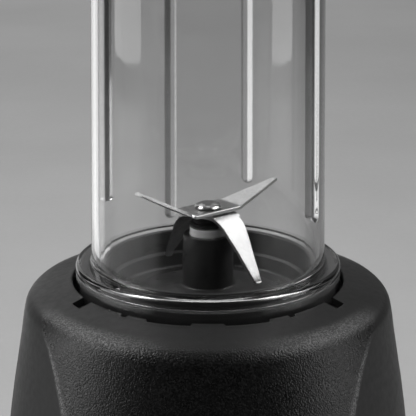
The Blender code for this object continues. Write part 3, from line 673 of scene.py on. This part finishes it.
def paint_grain(shell):
    """Paints the leather grain on the front and back panels, and a painted highlight along the creases and
    the shoulder.
    """
    points = np.zeros(len(shell.data.vertices) * 3)
    shell.data.vertices.foreach_get("co", points)
    x, y, z = points.reshape(-1, 3).T / MM
    height = z - FLANGE_Z
    crease = np.interp(height, CREASE_HEIGHTS, CREASE_ANGLES)
    from_side = np.abs(np.abs(np.degrees(np.arctan2(x, -y))) - 90.0)
    past_crease = from_side - (90.0 - crease)
    grain = smoothstep(-1.2, 1.2, past_crease) * (1.0 - smoothstep(-11.0, -9.2, height))
    # The crease line and the shoulder band are painted highlights, where these edges catch the side lamps.
    line = 1.0 - smoothstep(0.4, 1.7, np.abs(past_crease - 0.4))
    line *= 1.0 - smoothstep(-21.0, -13.0, height)
    off_middle = 90.0 - from_side
    shoulder = 1.0 - smoothstep(0.3, 1.6, np.abs(height + 10.0))
    shoulder *= smoothstep(9.0, 34.0, off_middle) * (1.0 - smoothstep(50.0, 72.0, off_middle))
    paint(shell, GRAIN, grain)
    paint(shell, PAINTED_HIGHLIGHT, np.clip(line + shoulder * 0.8, 0.0, 1.0))


def paint(obj, name, values):
    layer = obj.data.attributes.new(name, "FLOAT", "POINT")
    layer.data.foreach_set("value", values)


def screw_pillars():
    """The four pillars inside the housing that the cover's screws bite into."""
    shells = []
    for angle in SCREW_ANGLES.values():
        x, y, _ = polar(SCREW_PITCH_R, angle, 0.0)
        corners = [(1.5, 6.2, 0.3), (4.6, 6.2, 0.5), (5.2, 40.0, 0.6), (1.5, 40.0, 0.3)]
        shells.append(revolve("screw_pillars", corners, "grained_black", 32, True, 0.0, (x, y)))
    first = join(shells)
    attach(first, "motor_base")
    return first


def join(objects):
    """Puts several separate shells in one piece."""
    bm = bmesh.new()
    for obj in objects:
        bm.from_mesh(obj.data)
    first = objects[0]
    bm.to_mesh(first.data)
    bm.free()
    for obj in objects[1:]:
        bpy.data.objects.remove(obj)
    shade(first)
    return first


# ---------------------------------------------------------------- base, fixed pieces


def arc_box(name, inner, outer, start, end, low, high, steps=10):
    """A block that follows an arc, from one angle to another."""
    ring = [(inner, low), (outer, low), (outer, high), (inner, high)]
    angles = np.linspace(start, end, steps + 1)
    return tube_mesh(name, np.array([[polar(r, a, z) for r, z in ring] for a in angles]), "smooth_black")


def softened(obj, width):
    """Rounds the edges of a piece over by a small width."""
    step = obj.modifiers.new("Soft edges", "BEVEL")
    step.width = width * MM
    step.segments = 2
    step.limit_method = "ANGLE"
    step.angle_limit = math.radians(35.0)
    applied(obj)
    shade(obj)
    return obj


def seat_ring():
    corners = [
        (56.0, -11.7, 0.3),
        (56.0, -15.5, 0.4),
        (50.8, -15.5, 0.5),
        (50.8, -26.8, 0.8),
        (24.2, -26.8, 0.8),
        (24.2, -33.2, 0.8),
        (5.6, -33.2, 0.3),
        (5.6, -28.2, 0.3),
        (7.4, -28.2, 0.4),
        (7.4, -31.0, 0.6),
        (22.0, -31.0, 1.2),
        (22.0, -24.6, 0.8),
        (48.6, -24.6, 1.4),
        (48.6, -13.5, 0.4),
        (54.2, -13.5, 0.5),
        (54.2, -11.7, 0.3),
    ]
    seat = revolve("cup_seat_ring", corners, "smooth_black", 160)
    for tab in TABS[:2]:
        cut(seat, arc_box("slot_cutter", 51.3, 53.6, tab - 23.1, tab - 2.4, -17.0, -11.0))
    return stand_for(seat, "smooth_black", "cup_seat")


def cover_plate():
    corners = [
        (73.6, 5.7, 0.3),
        (73.6, 3.2, 0.6),
        (9.0, 3.2, 0.5),
        (9.0, 5.7, 0.3),
        (14.5, 5.7, 0.3),
        (14.5, 14.0, 0.4),
        (19.5, 14.0, 0.4),
        (19.5, 5.7, 0.6),
    ]
    plate = revolve("cover_plate", corners, "smooth_black", 144, True, 0.0)
    cutters = []
    for x in (-15.0, -5.0, 5.0, 15.0):
        for side in (-1, 1):
            cutters.append(slot_block(x, side * 39.5, 3.2, 25.0))
    for angle in SCREW_ANGLES.values():
        x, y, _ = polar(SCREW_PITCH_R, angle, 0.0)
        cutters.append(pin_cutter(1.6, (x, y)))
    for x in (-FOOT_XY, FOOT_XY):
        for y in (-FOOT_XY, FOOT_XY):
            cutters.append(pin_cutter(2.4, (x, y)))
    cut(plate, join(cutters))
    return stand_for(plate, "smooth_black", "bottom_cover")


def pin_cutter(radius, centre):
    """A cutter for a round hole in the cover."""
    corners = [(0, 1), (radius, 1), (radius, 8), (0, 8)]
    return revolve("hole", corners, "smooth_black", 24, False, 0.0, centre)


def slot_block(x, y, width, length):
    """A cutter with rounded ends, for a vent."""
    around = []
    for end in (1, -1):
        for k in range(9):
            a = math.radians(180.0 * k / 8)
            px = width / 2 * math.cos(a) * end
            py = (length / 2 - width / 2) * end + width / 2 * math.sin(a) * end
            around.append((x + px, y + py))
    count = len(around)
    points = [(px * MM, py * MM, z * MM) for z in (1.0, 8.0) for px, py in around]
    faces = [tuple(reversed(range(count))), tuple(range(count, 2 * count))]
    for i in range(count):
        n = (i + 1) % count
        faces.append((i, n, count + n, count + i))
    mesh = bpy.data.meshes.new("vent")
    mesh.from_pydata(points, [], faces)
    return clean_object("vent", mesh, "smooth_black")


def small_base_pieces():
    places = {
        "front_left": (-FOOT_XY, -FOOT_XY),
        "front_right": (FOOT_XY, -FOOT_XY),
        "back_left": (-FOOT_XY, FOOT_XY),
        "back_right": (FOOT_XY, FOOT_XY),
    }
    for place, centre in places.items():
        corners = [(0, 6.9), (1.9, 6.9, 0.4), (1.9, 2.9, 0.2), (7.0, 2.9, 0.4), (7.0, 0.0, 0.9), (0, 0.0)]
        foot = revolve("pad_" + place, corners, "black_rubber", 48, False, 0.0, centre)
        stand_for(foot, "black_rubber", "foot_" + place)
    for place, angle in SCREW_ANGLES.items():
        x, y, _ = polar(SCREW_PITCH_R, angle, 0.0)
        corners = [(0, 15.0), (1.2, 13.4, 0.3), (1.2, 2.9, 0.1), (3.0, 2.9, 0.3), (3.0, 1.2, 1.0), (0, 1.2)]
        screw = revolve("screw_" + place, corners, "bracket_steel", 40, False, 0.0, (x, y))
        for turn in (0.0, 90.0):
            cut(screw, cross_bar(x, y, turn + 20.0))
        stand_for(screw, "bracket_steel", "cover_screw_" + place)
    corners = [
        (4.4, 80.4, 0.2),
        (5.9, 80.0, 0.5),
        (5.9, 77.2, 0.2),
        (8.0, 77.2, 0.3),
        (8.0, 75.2, 0.3),
        (3.0, 75.2, 0.3),
        (3.0, 79.6, 0.4),
    ]
    gland = revolve("inlet_gland", corners, "black_rubber", 64, True, 0.0)
    gland.matrix_world = gland_place()
    stand_for(gland, "black_rubber", "cord_gland")


def cross_bar(x, y, turn):
    """One arm of a screw's cross recess."""
    spin = Matrix.Translation((x * MM, y * MM, 0)) @ Matrix.Rotation(math.radians(turn), 4, "Z")
    square = ((-1, -1), (1, -1), (1, 1), (-1, 1))
    points = [spin @ Vector((sx * 1.7 * MM, sy * 0.3 * MM, z * MM)) for z in (0.5, 1.9) for sx, sy in square]
    faces = [(3, 2, 1, 0), (4, 5, 6, 7), (0, 1, 5, 4), (1, 2, 6, 5), (2, 3, 7, 6), (3, 0, 4, 7)]
    mesh = bpy.data.meshes.new("recess")
    mesh.from_pydata(points, [], faces)
    return clean_object("recess", mesh, "bracket_steel")


# ---------------------------------------------------------------- blade holder and cutter


def holder_dish():
    corners = [
        (44.9, -3.6, 0.5),
        (44.9, -24.3, 0.6),
        (42.5, -24.3, 0.5),
        (42.4, -18.2, 0.9),
        (33.5, -16.6, 2.0),
        (24.0, -15.4, 2.0),
        (11.0, -12.2, 0.5),
        (10.6, -17.0, 0.4),
        (6.75, -17.0, 0.2),
        (6.75, 10.2, 0.15),
        (8.7, 10.2, 0.55),
        (9.3, -8.9, 1.0),
        (12.0, -9.2, 0.8),
        (26.0, -12.4, 0.6),
        (27.2, -13.7, 0.6),
        (34.4, -14.1, 1.6),
        (35.1, -8.5, 0.35),
        (36.3, -7.7, 0.45),
        (36.45, 0.6, 0.7),
        (38.4, 0.6, 0.55),
        (38.4, -15.6, 0.6),
        (41.3, -15.6, 0.6),
        (41.3, -3.6, 0.4),
    ]
    dish = revolve("holder_dish", corners, "smooth_black", 192)
    return stand_for(dish, "smooth_black", "blade_holder")


def post_pieces():
    corners = [(6.45, 12.9, 0.25), (6.45, 1.6, 0.2), (4.25, 1.6, 0.1), (4.25, 13.0, 0.25)]
    bush = revolve("post_bush", corners, "brushed_bush", 96)
    stand_for(bush, "polished_steel", "post_bush_upper")
    corners = [
        (5.5, 16.6, 0.3),
        (5.8, 15.9, 0.25),
        (5.35, 15.3, 0.15),
        (5.35, 14.9, 0.15),
        (6.1, 14.5, 0.25),
        (6.1, 13.3, 0.3),
        (4.25, 13.3, 0.1),
        (4.25, 16.6, 0.1),
    ]
    collar = revolve("ribbed_collar", corners, "black_rubber", 80)
    stand_for(collar, "black_rubber", "blade_spacer")


def bolt():
    corners = [
        (0, 21.7),
        (2.6, 21.55, 1.2),
        (4.2, 20.9, 0.7),
        (4.75, 20.2, 0.25),
        (4.75, 19.9, 0.1),
        (2.5, 19.9, 0.1),
        (2.5, 7.4, 0.3),
        (0, 7.4),
    ]
    piece = revolve("domed_bolt", corners, "polished_steel", 96, False)
    return stand_for(piece, "polished_steel", "blade_bolt")


BEND_STEPS = 6
BLADE_THICK = 1.2
BLADE_LIP = 0.16
BLADE_SOFT = 0.14
UPPER_PLATE_Z = 19.0
LOWER_PLATE_Z = 17.5


def bent(line, reach):
    """A 3-D line with each inner corner turned by an arc that starts its own reach away."""
    out = [np.array(line[0], float)]
    for i in range(1, len(line) - 1):
        here = np.array(line[i], float)
        back = np.array(line[i - 1], float) - here
        ahead = np.array(line[i + 1], float) - here
        near = min(reach[i], 0.45 * np.linalg.norm(back), 0.45 * np.linalg.norm(ahead))
        start = here + back / np.linalg.norm(back) * near
        end = here + ahead / np.linalg.norm(ahead) * near
        for k in range(BEND_STEPS + 1):
            out.append(arc_point(start, here, end, k / BEND_STEPS))
    out.append(np.array(line[-1], float))
    return np.array(out)


def divided(line, longest):
    """Station numbers along a line, so that no span is longer than a length."""
    places = [0.0]
    for i in range(len(line) - 1):
        count = max(1, math.ceil(np.linalg.norm(line[i + 1] - line[i]) / longest))
        places += [i + (k + 1) / count for k in range(count)]
    return np.array(places)


def at(line, places):
    index = np.arange(len(line))
    return np.stack([np.interp(places, index, line[:, k]) for k in range(3)], -1)


def blade_section(width, bevels):
    """The outline of a blade across its length: (distance from its first edge, height over its middle)."""
    half = BLADE_THICK / 2
    drops, softs = [], []
    for bevel in bevels:
        bevel = min(bevel, width * 0.45)
        drops.append(max((BLADE_THICK - BLADE_LIP) * min(1.0, bevel / BLADE_THICK), BLADE_SOFT))
        softs.append(max(bevel, BLADE_SOFT))
    return [
        (0.0, half - drops[0]),
        (softs[0], half),
        (width * 0.5, half),
        (width - softs[1], half),
        (width, half - drops[1]),
        (width, -half + 0.1),
        (width - 0.1, -half),
        (width * 0.5, -half),
        (0.1, -half),
        (0.0, -half + 0.1),
    ]


def blade(name, node, pairs, ground, reach):
    """A stamped blade with bent wings, each with one ground cutting edge.

    pairs are the two edges at each station, ground gives the width of the bevel on each edge there, and
    reach is how far from the station its bend starts.
    """
    first = bent([p[0] for p in pairs], reach)
    second = bent([p[1] for p in pairs], reach)
    held = [ground[0]] + [g for g in ground[1:-1] for _ in range(BEND_STEPS + 1)] + [ground[-1]]
    grind = np.array([(*g, 0.0) for g in held])
    places = divided((first + second) / 2, 1.2)
    a, b, g = at(first, places), at(second, places), at(grind, places)
    along = np.gradient((a + b) / 2, axis=0)
    across = b - a
    width = np.linalg.norm(across, axis=1)
    across = across / width[:, None]
    up = np.cross(along, across)
    up /= np.linalg.norm(up, axis=1)[:, None]
    if up[len(up) // 2][2] < 0:
        up = -up
    rows = []
    for i in range(len(places)):
        ring = blade_section(width[i], g[i][:2])
        rows.append([a[i] + across[i] * s + up[i] * h for s, h in ring])
    points = np.array(rows)
    points[..., 2] += FLANGE_Z
    return stand_for(tube_mesh(name, points, "blade_steel", 24.0), "blade_steel", node)


def blades():
    z = UPPER_PLATE_Z
    upper = (
        ((24.9, 9.3, 27.4), (22.4, 11.0, 27.1)),
        ((13.0, 2.5, z + 0.9), (5.4, 11.5, z + 0.9)),
        ((11.4, 1.4, z), (3.9, 11.2, z)),
        ((-3.9, -11.2, z), (-11.4, -1.4, z)),
        ((-5.4, -11.5, z + 0.9), (-13.0, -2.5, z + 0.9)),
        ((-22.4, -11.0, 27.1), (-24.9, -9.3, 27.4)),
    )
    ground = ((0, 1.0), (0, 1.6), (0, 0.3), (0.3, 0), (1.6, 0), (1.0, 0))
    blade("wing_blade_upper", "upper_blade", upper, ground, (0, 1.1, 1.1, 1.1, 1.1, 0))
    z = LOWER_PLATE_Z
    lower = (
        ((16.6, -16.7, -3.5), (18.15, -15.15, -3.5)),
        ((16.0, -16.8, -3.1), (18.3, -14.5, -3.1)),
        ((15.6, -16.65, -2.4), (18.2, -14.05, -2.4)),
        ((15.0, -16.25, -1.4), (18.0, -13.25, -1.4)),
        ((10.1, -11.9, 6.5), (15.6, -6.4, 6.5)),
        ((6.7, -9.6, 11.5), (14.1, -2.2, 11.5)),
        ((4.6, -8.2, 14.6), (12.8, 0.0, 14.6)),
        ((1.3, -6.9, z), (9.7, 1.5, z)),
        ((-9.7, -1.5, z), (-1.3, 6.9, z)),
        ((-11.9, 0.7, 14.6), (-3.5, 9.1, 14.6)),
        ((-15.8, 17.7, -2.4), (-13.2, 19.1, -2.6)),
        ((-16.0, 18.6, -4.0), (-13.3, 19.8, -4.1)),
        ((-15.6, 19.1, -4.8), (-13.9, 19.9, -4.9)),
        ((-15.1, 19.3, -5.1), (-14.3, 19.8, -5.1)),
    )
    front = [(0, bevel) for bevel in (0.2, 0.4, 0.6, 0.8, 1.0, 1.2, 1.2)]
    back = [(bevel, 0) for bevel in (1.2, 0.8, 0.6, 0.4, 0.2)]
    reach = (0, 0.1, 0.2, 0.3, 0.8, 0.8, 1.8, 2.4, 2.4, 2.4, 0.3, 0.2, 0.1, 0)
    blade("wing_blade_lower", "lower_blade", lower, [*front, (0, 0), (0, 0), *back], reach)


# ---------------------------------------------------------------- cup


def outer_wall(height):
    """Radius of the cup's outside, which narrows slightly towards its closed end."""
    return 41.3 - 1.5 / 89.0 * (height - 2.9)


def rib_swell(angles, heights, radius):
    """How far the ribs stand in from the cup's inner wall."""
    total = np.zeros(np.broadcast(angles, heights).shape)
    for rib, low in RIBS.items():
        side = np.radians(folded(angles - rib)) * radius
        under = np.minimum(heights - low, 0.0)
        away = np.sqrt(side * side + under * under)
        total = np.maximum(total, 1.0 - smoothstep(0.85, 2.35, away))
    return RIB_DEPTH * total * (1.0 - smoothstep(RIB_TOP - 3.0, RIB_TOP + 2.0, heights))


def ringed(outline, angles):
    """Rows of points from an outline (radius, height)."""
    outline = np.array(outline)
    return polar(outline[:, :1], angles, outline[:, 1:] + 0.0 * angles)


def cup_outside(angles):
    end = [(0, CUP_TOP), (outer_wall(CUP_TOP), CUP_TOP, 6.0), (outer_wall(60.0), 60.0)]
    wall = [(outer_wall(h), h) for h in (140.0, 110.0, 85.0, 60.0, 40.0, 20.0)]
    flange = [(outer_wall(60.0), 60.0), (41.35, 1.0, 1.0), (FLANGE_R, 0.65, 1.9), (FLANGE_R, -10.0)]
    skirt = [(FLANGE_R, -6.0), (FLANGE_R, -10.6)]
    outline = [*rounded(end, False, 9)[:-1], *wall, *rounded(flange, False, 9)[1:-1], *skirt]
    return ringed(outline, angles)


def cup_tabs(angles):
    """The skirt's lower edge, with the three tabs that turn under the deck."""
    tab = np.zeros(angles.shape)
    for middle in TABS:
        tab = np.maximum(tab, window(folded(angles - middle), -TAB_HALF, TAB_HALF, 0.3))
    steps = ((0.0, -0.05), (0.04, -0.02), (0.95, 0.0), (1.0, 0.2), (1.0, 1.35), (0.95, 1.55))
    rows = []
    for reach, down in steps:
        height = np.full(angles.shape, TAB_TOP - down)
        rows.append(polar(FLANGE_R + TAB_REACH * reach * tab, angles, height))
    return np.concatenate(rows)


def cup_mouth(angles):
    """From the skirt's edge round the groove for the holder, and down and round the threaded neck."""
    groove = [
        (FLANGE_R, -12.0),
        (FLANGE_R, NECK_BOTTOM, 0.0),
        (45.3, NECK_BOTTOM, 0.3),
        (45.3, -2.6, 0.25),
        (NECK_OUT_R, -2.6, 0.2),
        (NECK_OUT_R, -3.2),
    ]
    heights = np.arange(-3.4, -12.3, -0.3)[:, None]
    turn = ((heights + THREAD_PITCH * angles / 360.0) / THREAD_PITCH) % 1.0
    ridge = np.clip(1.0 - ((turn - 0.5) / 0.2) ** 2, 0.0, 1.0)
    ridge *= smoothstep(-12.2, -11.4, heights) * (1.0 - smoothstep(-4.4, -3.5, heights))
    thread = polar(NECK_OUT_R + THREAD_DEPTH * ridge, angles, heights + 0.0 * angles)
    end = [(NECK_OUT_R, -12.3), (NECK_OUT_R, NECK_BOTTOM, 0.3)]
    end += [(NECK_IN_R, NECK_BOTTOM, 0.3), (NECK_IN_R, 0.0)]
    inside = [(NECK_IN_R, height) for height in (-8.0, -2.0, 2.5)]
    parts = [ringed(rounded(groove, False)[1:], angles), thread, ringed(rounded(end, False)[1:-1], angles)]
    return np.concatenate([*parts, ringed(inside, angles)])


def cup_inside(angles):
    """The inner wall with its ribs, up to the closed end."""
    heights = inner_heights()[:, None]
    reach = outer_wall(heights) - CUP_WALL - rib_swell(angles, heights, 38.0)
    wall = polar(reach, angles, heights + 0.0 * angles)
    under_end = CUP_TOP - CUP_WALL
    lid = [
        (outer_wall(RIB_TOP) - CUP_WALL, RIB_TOP),
        (outer_wall(160.0) - CUP_WALL, under_end, 4.0),
        (0, under_end),
    ]
    return np.concatenate([wall, ringed(rounded(lid, False, 7)[1:], angles)])


def cup_body():
    zones = [(rib, 5.6, 0.4) for rib in RIBS] + [(tab, 3.2, 0.2) for tab in TABS]
    angles = columns(2.4, zones)[None, :]
    points = [cup_outside(angles), cup_tabs(angles), cup_mouth(angles), cup_inside(angles)]
    cup = sheet_mesh("cup_body", np.concatenate(points), False, "clear_plastic", 50.0)
    return stand_for(cup, "clear_plastic", "clear_cup")


def inner_heights():
    """Heights of the inner wall's rows."""
    return np.concatenate(
        [
            np.arange(4.5, 9.7, 0.35),
            (12.0, 15.5, 17.0, 18.0),
            np.arange(18.5, 23.6, 0.3),
            (25.0, 30.0, 45.0, 60.0, 80.0, 100.0, 120.0, 140.0, 150.0),
            np.arange(153.0, 158.1, 0.7),
        ]
    )


# ---------------------------------------------------------------- couplings


def couplings():
    corners = [
        (13.5, -25.2, 0.4),
        (13.5, -30.2, 0.4),
        (11.0, -30.2, 0.3),
        (11.0, -27.6, 0.3),
        (5.2, -27.6, 0.2),
        (5.2, -32.0, 0.3),
        (4.3, -32.0, 0.1),
        (4.3, -25.2, 0.2),
    ]
    lower = revolve("drive_coupling_disc", corners, "smooth_black", 96)
    for turn in (45.0, 135.0, 225.0, 315.0):
        cut(lower, dog(turn, -26.0, -21.0), "UNION")
    stand_for(lower, "smooth_black", "drive_coupling")
    corners = [(13.5, -17.4, 0.4), (13.5, -20.2, 0.4), (4.25, -20.2, 0.2), (4.25, -17.4, 0.2)]
    upper = revolve("driven_coupling_disc", corners, "smooth_black", 96)
    for turn in (0.0, 90.0, 180.0, 270.0):
        cut(upper, dog(turn, -24.4, -19.4), "UNION")
    stand_for(upper, "smooth_black", "driven_coupling")


def dog(turn, low, high):
    tooth = arc_box("dog", 6.4, 13.0, turn - 15.0, turn + 15.0, low, high, 6)
    return softened(tooth, 0.4)


# ---------------------------------------------------------------- stage, lights, camera


# Distance of the camera in metres, as used for bearings on the floor.
CAMERA_AWAY = 0.51


def stage():
    """A wide pale floor.

    It is dark in front of the object where the object mirrors it, and at the right for rays through the cup.
    """
    finish = new_material("pale_floor")
    t = Tree(finish)
    broad = t.noise(3.0, 5.0, 0.6)
    fine = t.noise(240.0, 4.0, 0.6)
    colour = t.tones(broad, ((0.2, 0.4), (0.8, 0.48)))
    rough = t.ranged(fine, 0.5, 0.62)
    pale = t.principled(colour, rough, t.bump(fine, 0.05, 0.0003), Specular_IOR_Level=0.3)
    place = t.add("ShaderNodeSeparateXYZ")
    t.link(t.add("ShaderNodeTexCoord").outputs["Object"], place.inputs[0])
    aside = t.maths("MULTIPLY", t.maths("ABSOLUTE", place.outputs["X"], 0.0), 0.9)
    front = t.ranged(t.maths("ADD", place.outputs["Y"], aside), 1.0, 0.0, -0.06, 0.06)
    dim = t.add("ShaderNodeBsdfDiffuse")
    dim.inputs["Color"].default_value = tone_colour(0.02)
    path = t.add("ShaderNodeLightPath")
    bounced = t.maths("MINIMUM", path.outputs["Glossy Depth"], 1.0)
    through_cup = t.maths("MINIMUM", path.outputs["Transmission Depth"], 1.0)
    bearing = t.maths("DIVIDE", place.outputs["X"], t.maths("ADD", place.outputs["Y"], CAMERA_AWAY))
    right = t.maths("MULTIPLY", t.ranged(bearing, 0.0, 0.6, 0.1, 0.2), through_cup)
    dark = t.maths("MAXIMUM", t.maths("MULTIPLY", bounced, front), right)
    t.finish(t.mixed(dark, pale, dim.outputs["BSDF"]))
    mesh = bpy.data.meshes.new("floor")
    bm = bmesh.new()
    bmesh.ops.create_circle(bm, cap_ends=True, segments=96, radius=9.0)
    bm.to_mesh(mesh)
    bm.free()
    floor = bpy.data.objects.new("floor", mesh)
    bpy.context.scene.collection.objects.link(floor)
    floor.location.z = -0.0004
    mesh.materials.append(finish)


def softbox(name, place, target, size, power, *unseen):
    """A lamp aimed at the target, hidden from the camera and the unseen kinds of rays."""
    lamp = bpy.data.lights.new(name, "AREA")
    lamp.shape = "RECTANGLE"
    lamp.size, lamp.size_y = size
    lamp.energy = power
    obj = bpy.data.objects.new(name, lamp)
    bpy.context.scene.collection.objects.link(obj)
    obj.location = place
    obj.rotation_mode = "QUATERNION"
    obj.rotation_quaternion = (Vector(target) - Vector(place)).to_track_quat("-Z", "Y")
    for kind in ("camera", *unseen):
        setattr(obj, "visible_" + kind, False)


def lights():
    """A room that is brighter behind the object, and soft lamps to its sides."""
    world = bpy.data.worlds.new("studio")
    bpy.context.scene.world = world
    world.use_nodes = True
    nodes, links = world.node_tree.nodes, world.node_tree.links
    back = nodes["Background"]
    glow = nodes.new("ShaderNodeVectorMath")
    glow.operation = "DOT_PRODUCT"
    glow.inputs[1].default_value = (0.0, 0.96, 0.28)
    ramp = nodes.new("ShaderNodeValToRGB")
    links.new(nodes.new("ShaderNodeTexCoord").outputs["Generated"], glow.inputs[0])
    links.new(glow.outputs["Value"], ramp.inputs[0])
    ramp.color_ramp.elements[0].position = 0.55
    ramp.color_ramp.elements[0].color = tone_colour(0.03)
    ramp.color_ramp.elements[1].position = 0.97
    ramp.color_ramp.elements[1].color = tone_colour(0.2)
    links.new(ramp.outputs[0], back.inputs["Color"])
    back.inputs["Strength"].default_value = 1.0
    unseen = "transmission"
    softbox("left_window", (-0.9, -0.1, 0.55), (0, 0, 0.25), (0.6, 0.8), 3.0, unseen)
    softbox("right_window", (0.88, -0.22, 0.52), (0, 0, 0.25), (0.42, 0.74), 1.4, unseen)
    softbox("left_low", (-1.14, -0.14, 0.15), (0, 0, 0.12), (0.7, 0.22), 1.3, unseen)
    softbox("right_low", (1.12, -0.3, 0.15), (0, 0, 0.12), (0.5, 0.22), 0.9, unseen)
    softbox("left_high", (-0.68, 0.0, 0.88), (0, 0, 0.15), (0.5, 0.36), 2.9)
    softbox("right_high", (0.66, -0.1, 0.88), (0, 0, 0.15), (0.44, 0.34), 2.2)
    softbox("wing_light", (0.66, 0.25, 0.74), (0, 0, 0.15), (0.42, 0.42), 1.1)
    softbox("back_high", (-0.41, 0.61, 0.85), (0, 0, 0.15), (0.45, 0.45), 0.6)
    softbox("overhead", (0.0, 0.34, 1.1), (0, 0, 0.15), (1.2, 0.24), 1.5)
    softbox("floor_light", (-0.4, 1.9, 1.9), (-0.2, 1.4, 0.0), (2.6, 0.8), 30.0, "glossy", unseen)
    softbox("left_rim", (-0.22, 0.34, 0.2), (0, 0, 0.2), (0.15, 0.42), 0.13, "diffuse")


def camera():
    data = bpy.data.cameras.new("photo_camera")
    data.sensor_width = 36.0
    data.lens = 129.8
    data.clip_start = 0.01
    data.clip_end = 60.0
    obj = bpy.data.objects.new("photo_camera", data)
    bpy.context.scene.collection.objects.link(obj)
    obj.location = (0.0, -0.5071, FLANGE_Z * MM + 0.1684)
    obj.rotation_euler = (math.radians(73.6), 0.0, 0.0)
    bpy.context.scene.camera = obj


# ---------------------------------------------------------------- frame pieces kept as they are


def dress_frame():
    """Gives every CAD node its finish, by the record's material slots."""
    for part in frame["record"]["subparts"]:
        for slot in frame["nodes"][part["node"]].material_slots:
            slot.material = FINISH[part["material_slot"]]


camera()
lights()
stage()
dress_frame()
housing_shell()
screw_pillars()
seat_ring()
cover_plate()
small_base_pieces()
holder_dish()
post_pieces()
bolt()
blades()
couplings()
cup_body()

bpy.context.scene.view_settings.view_transform = "Standard"
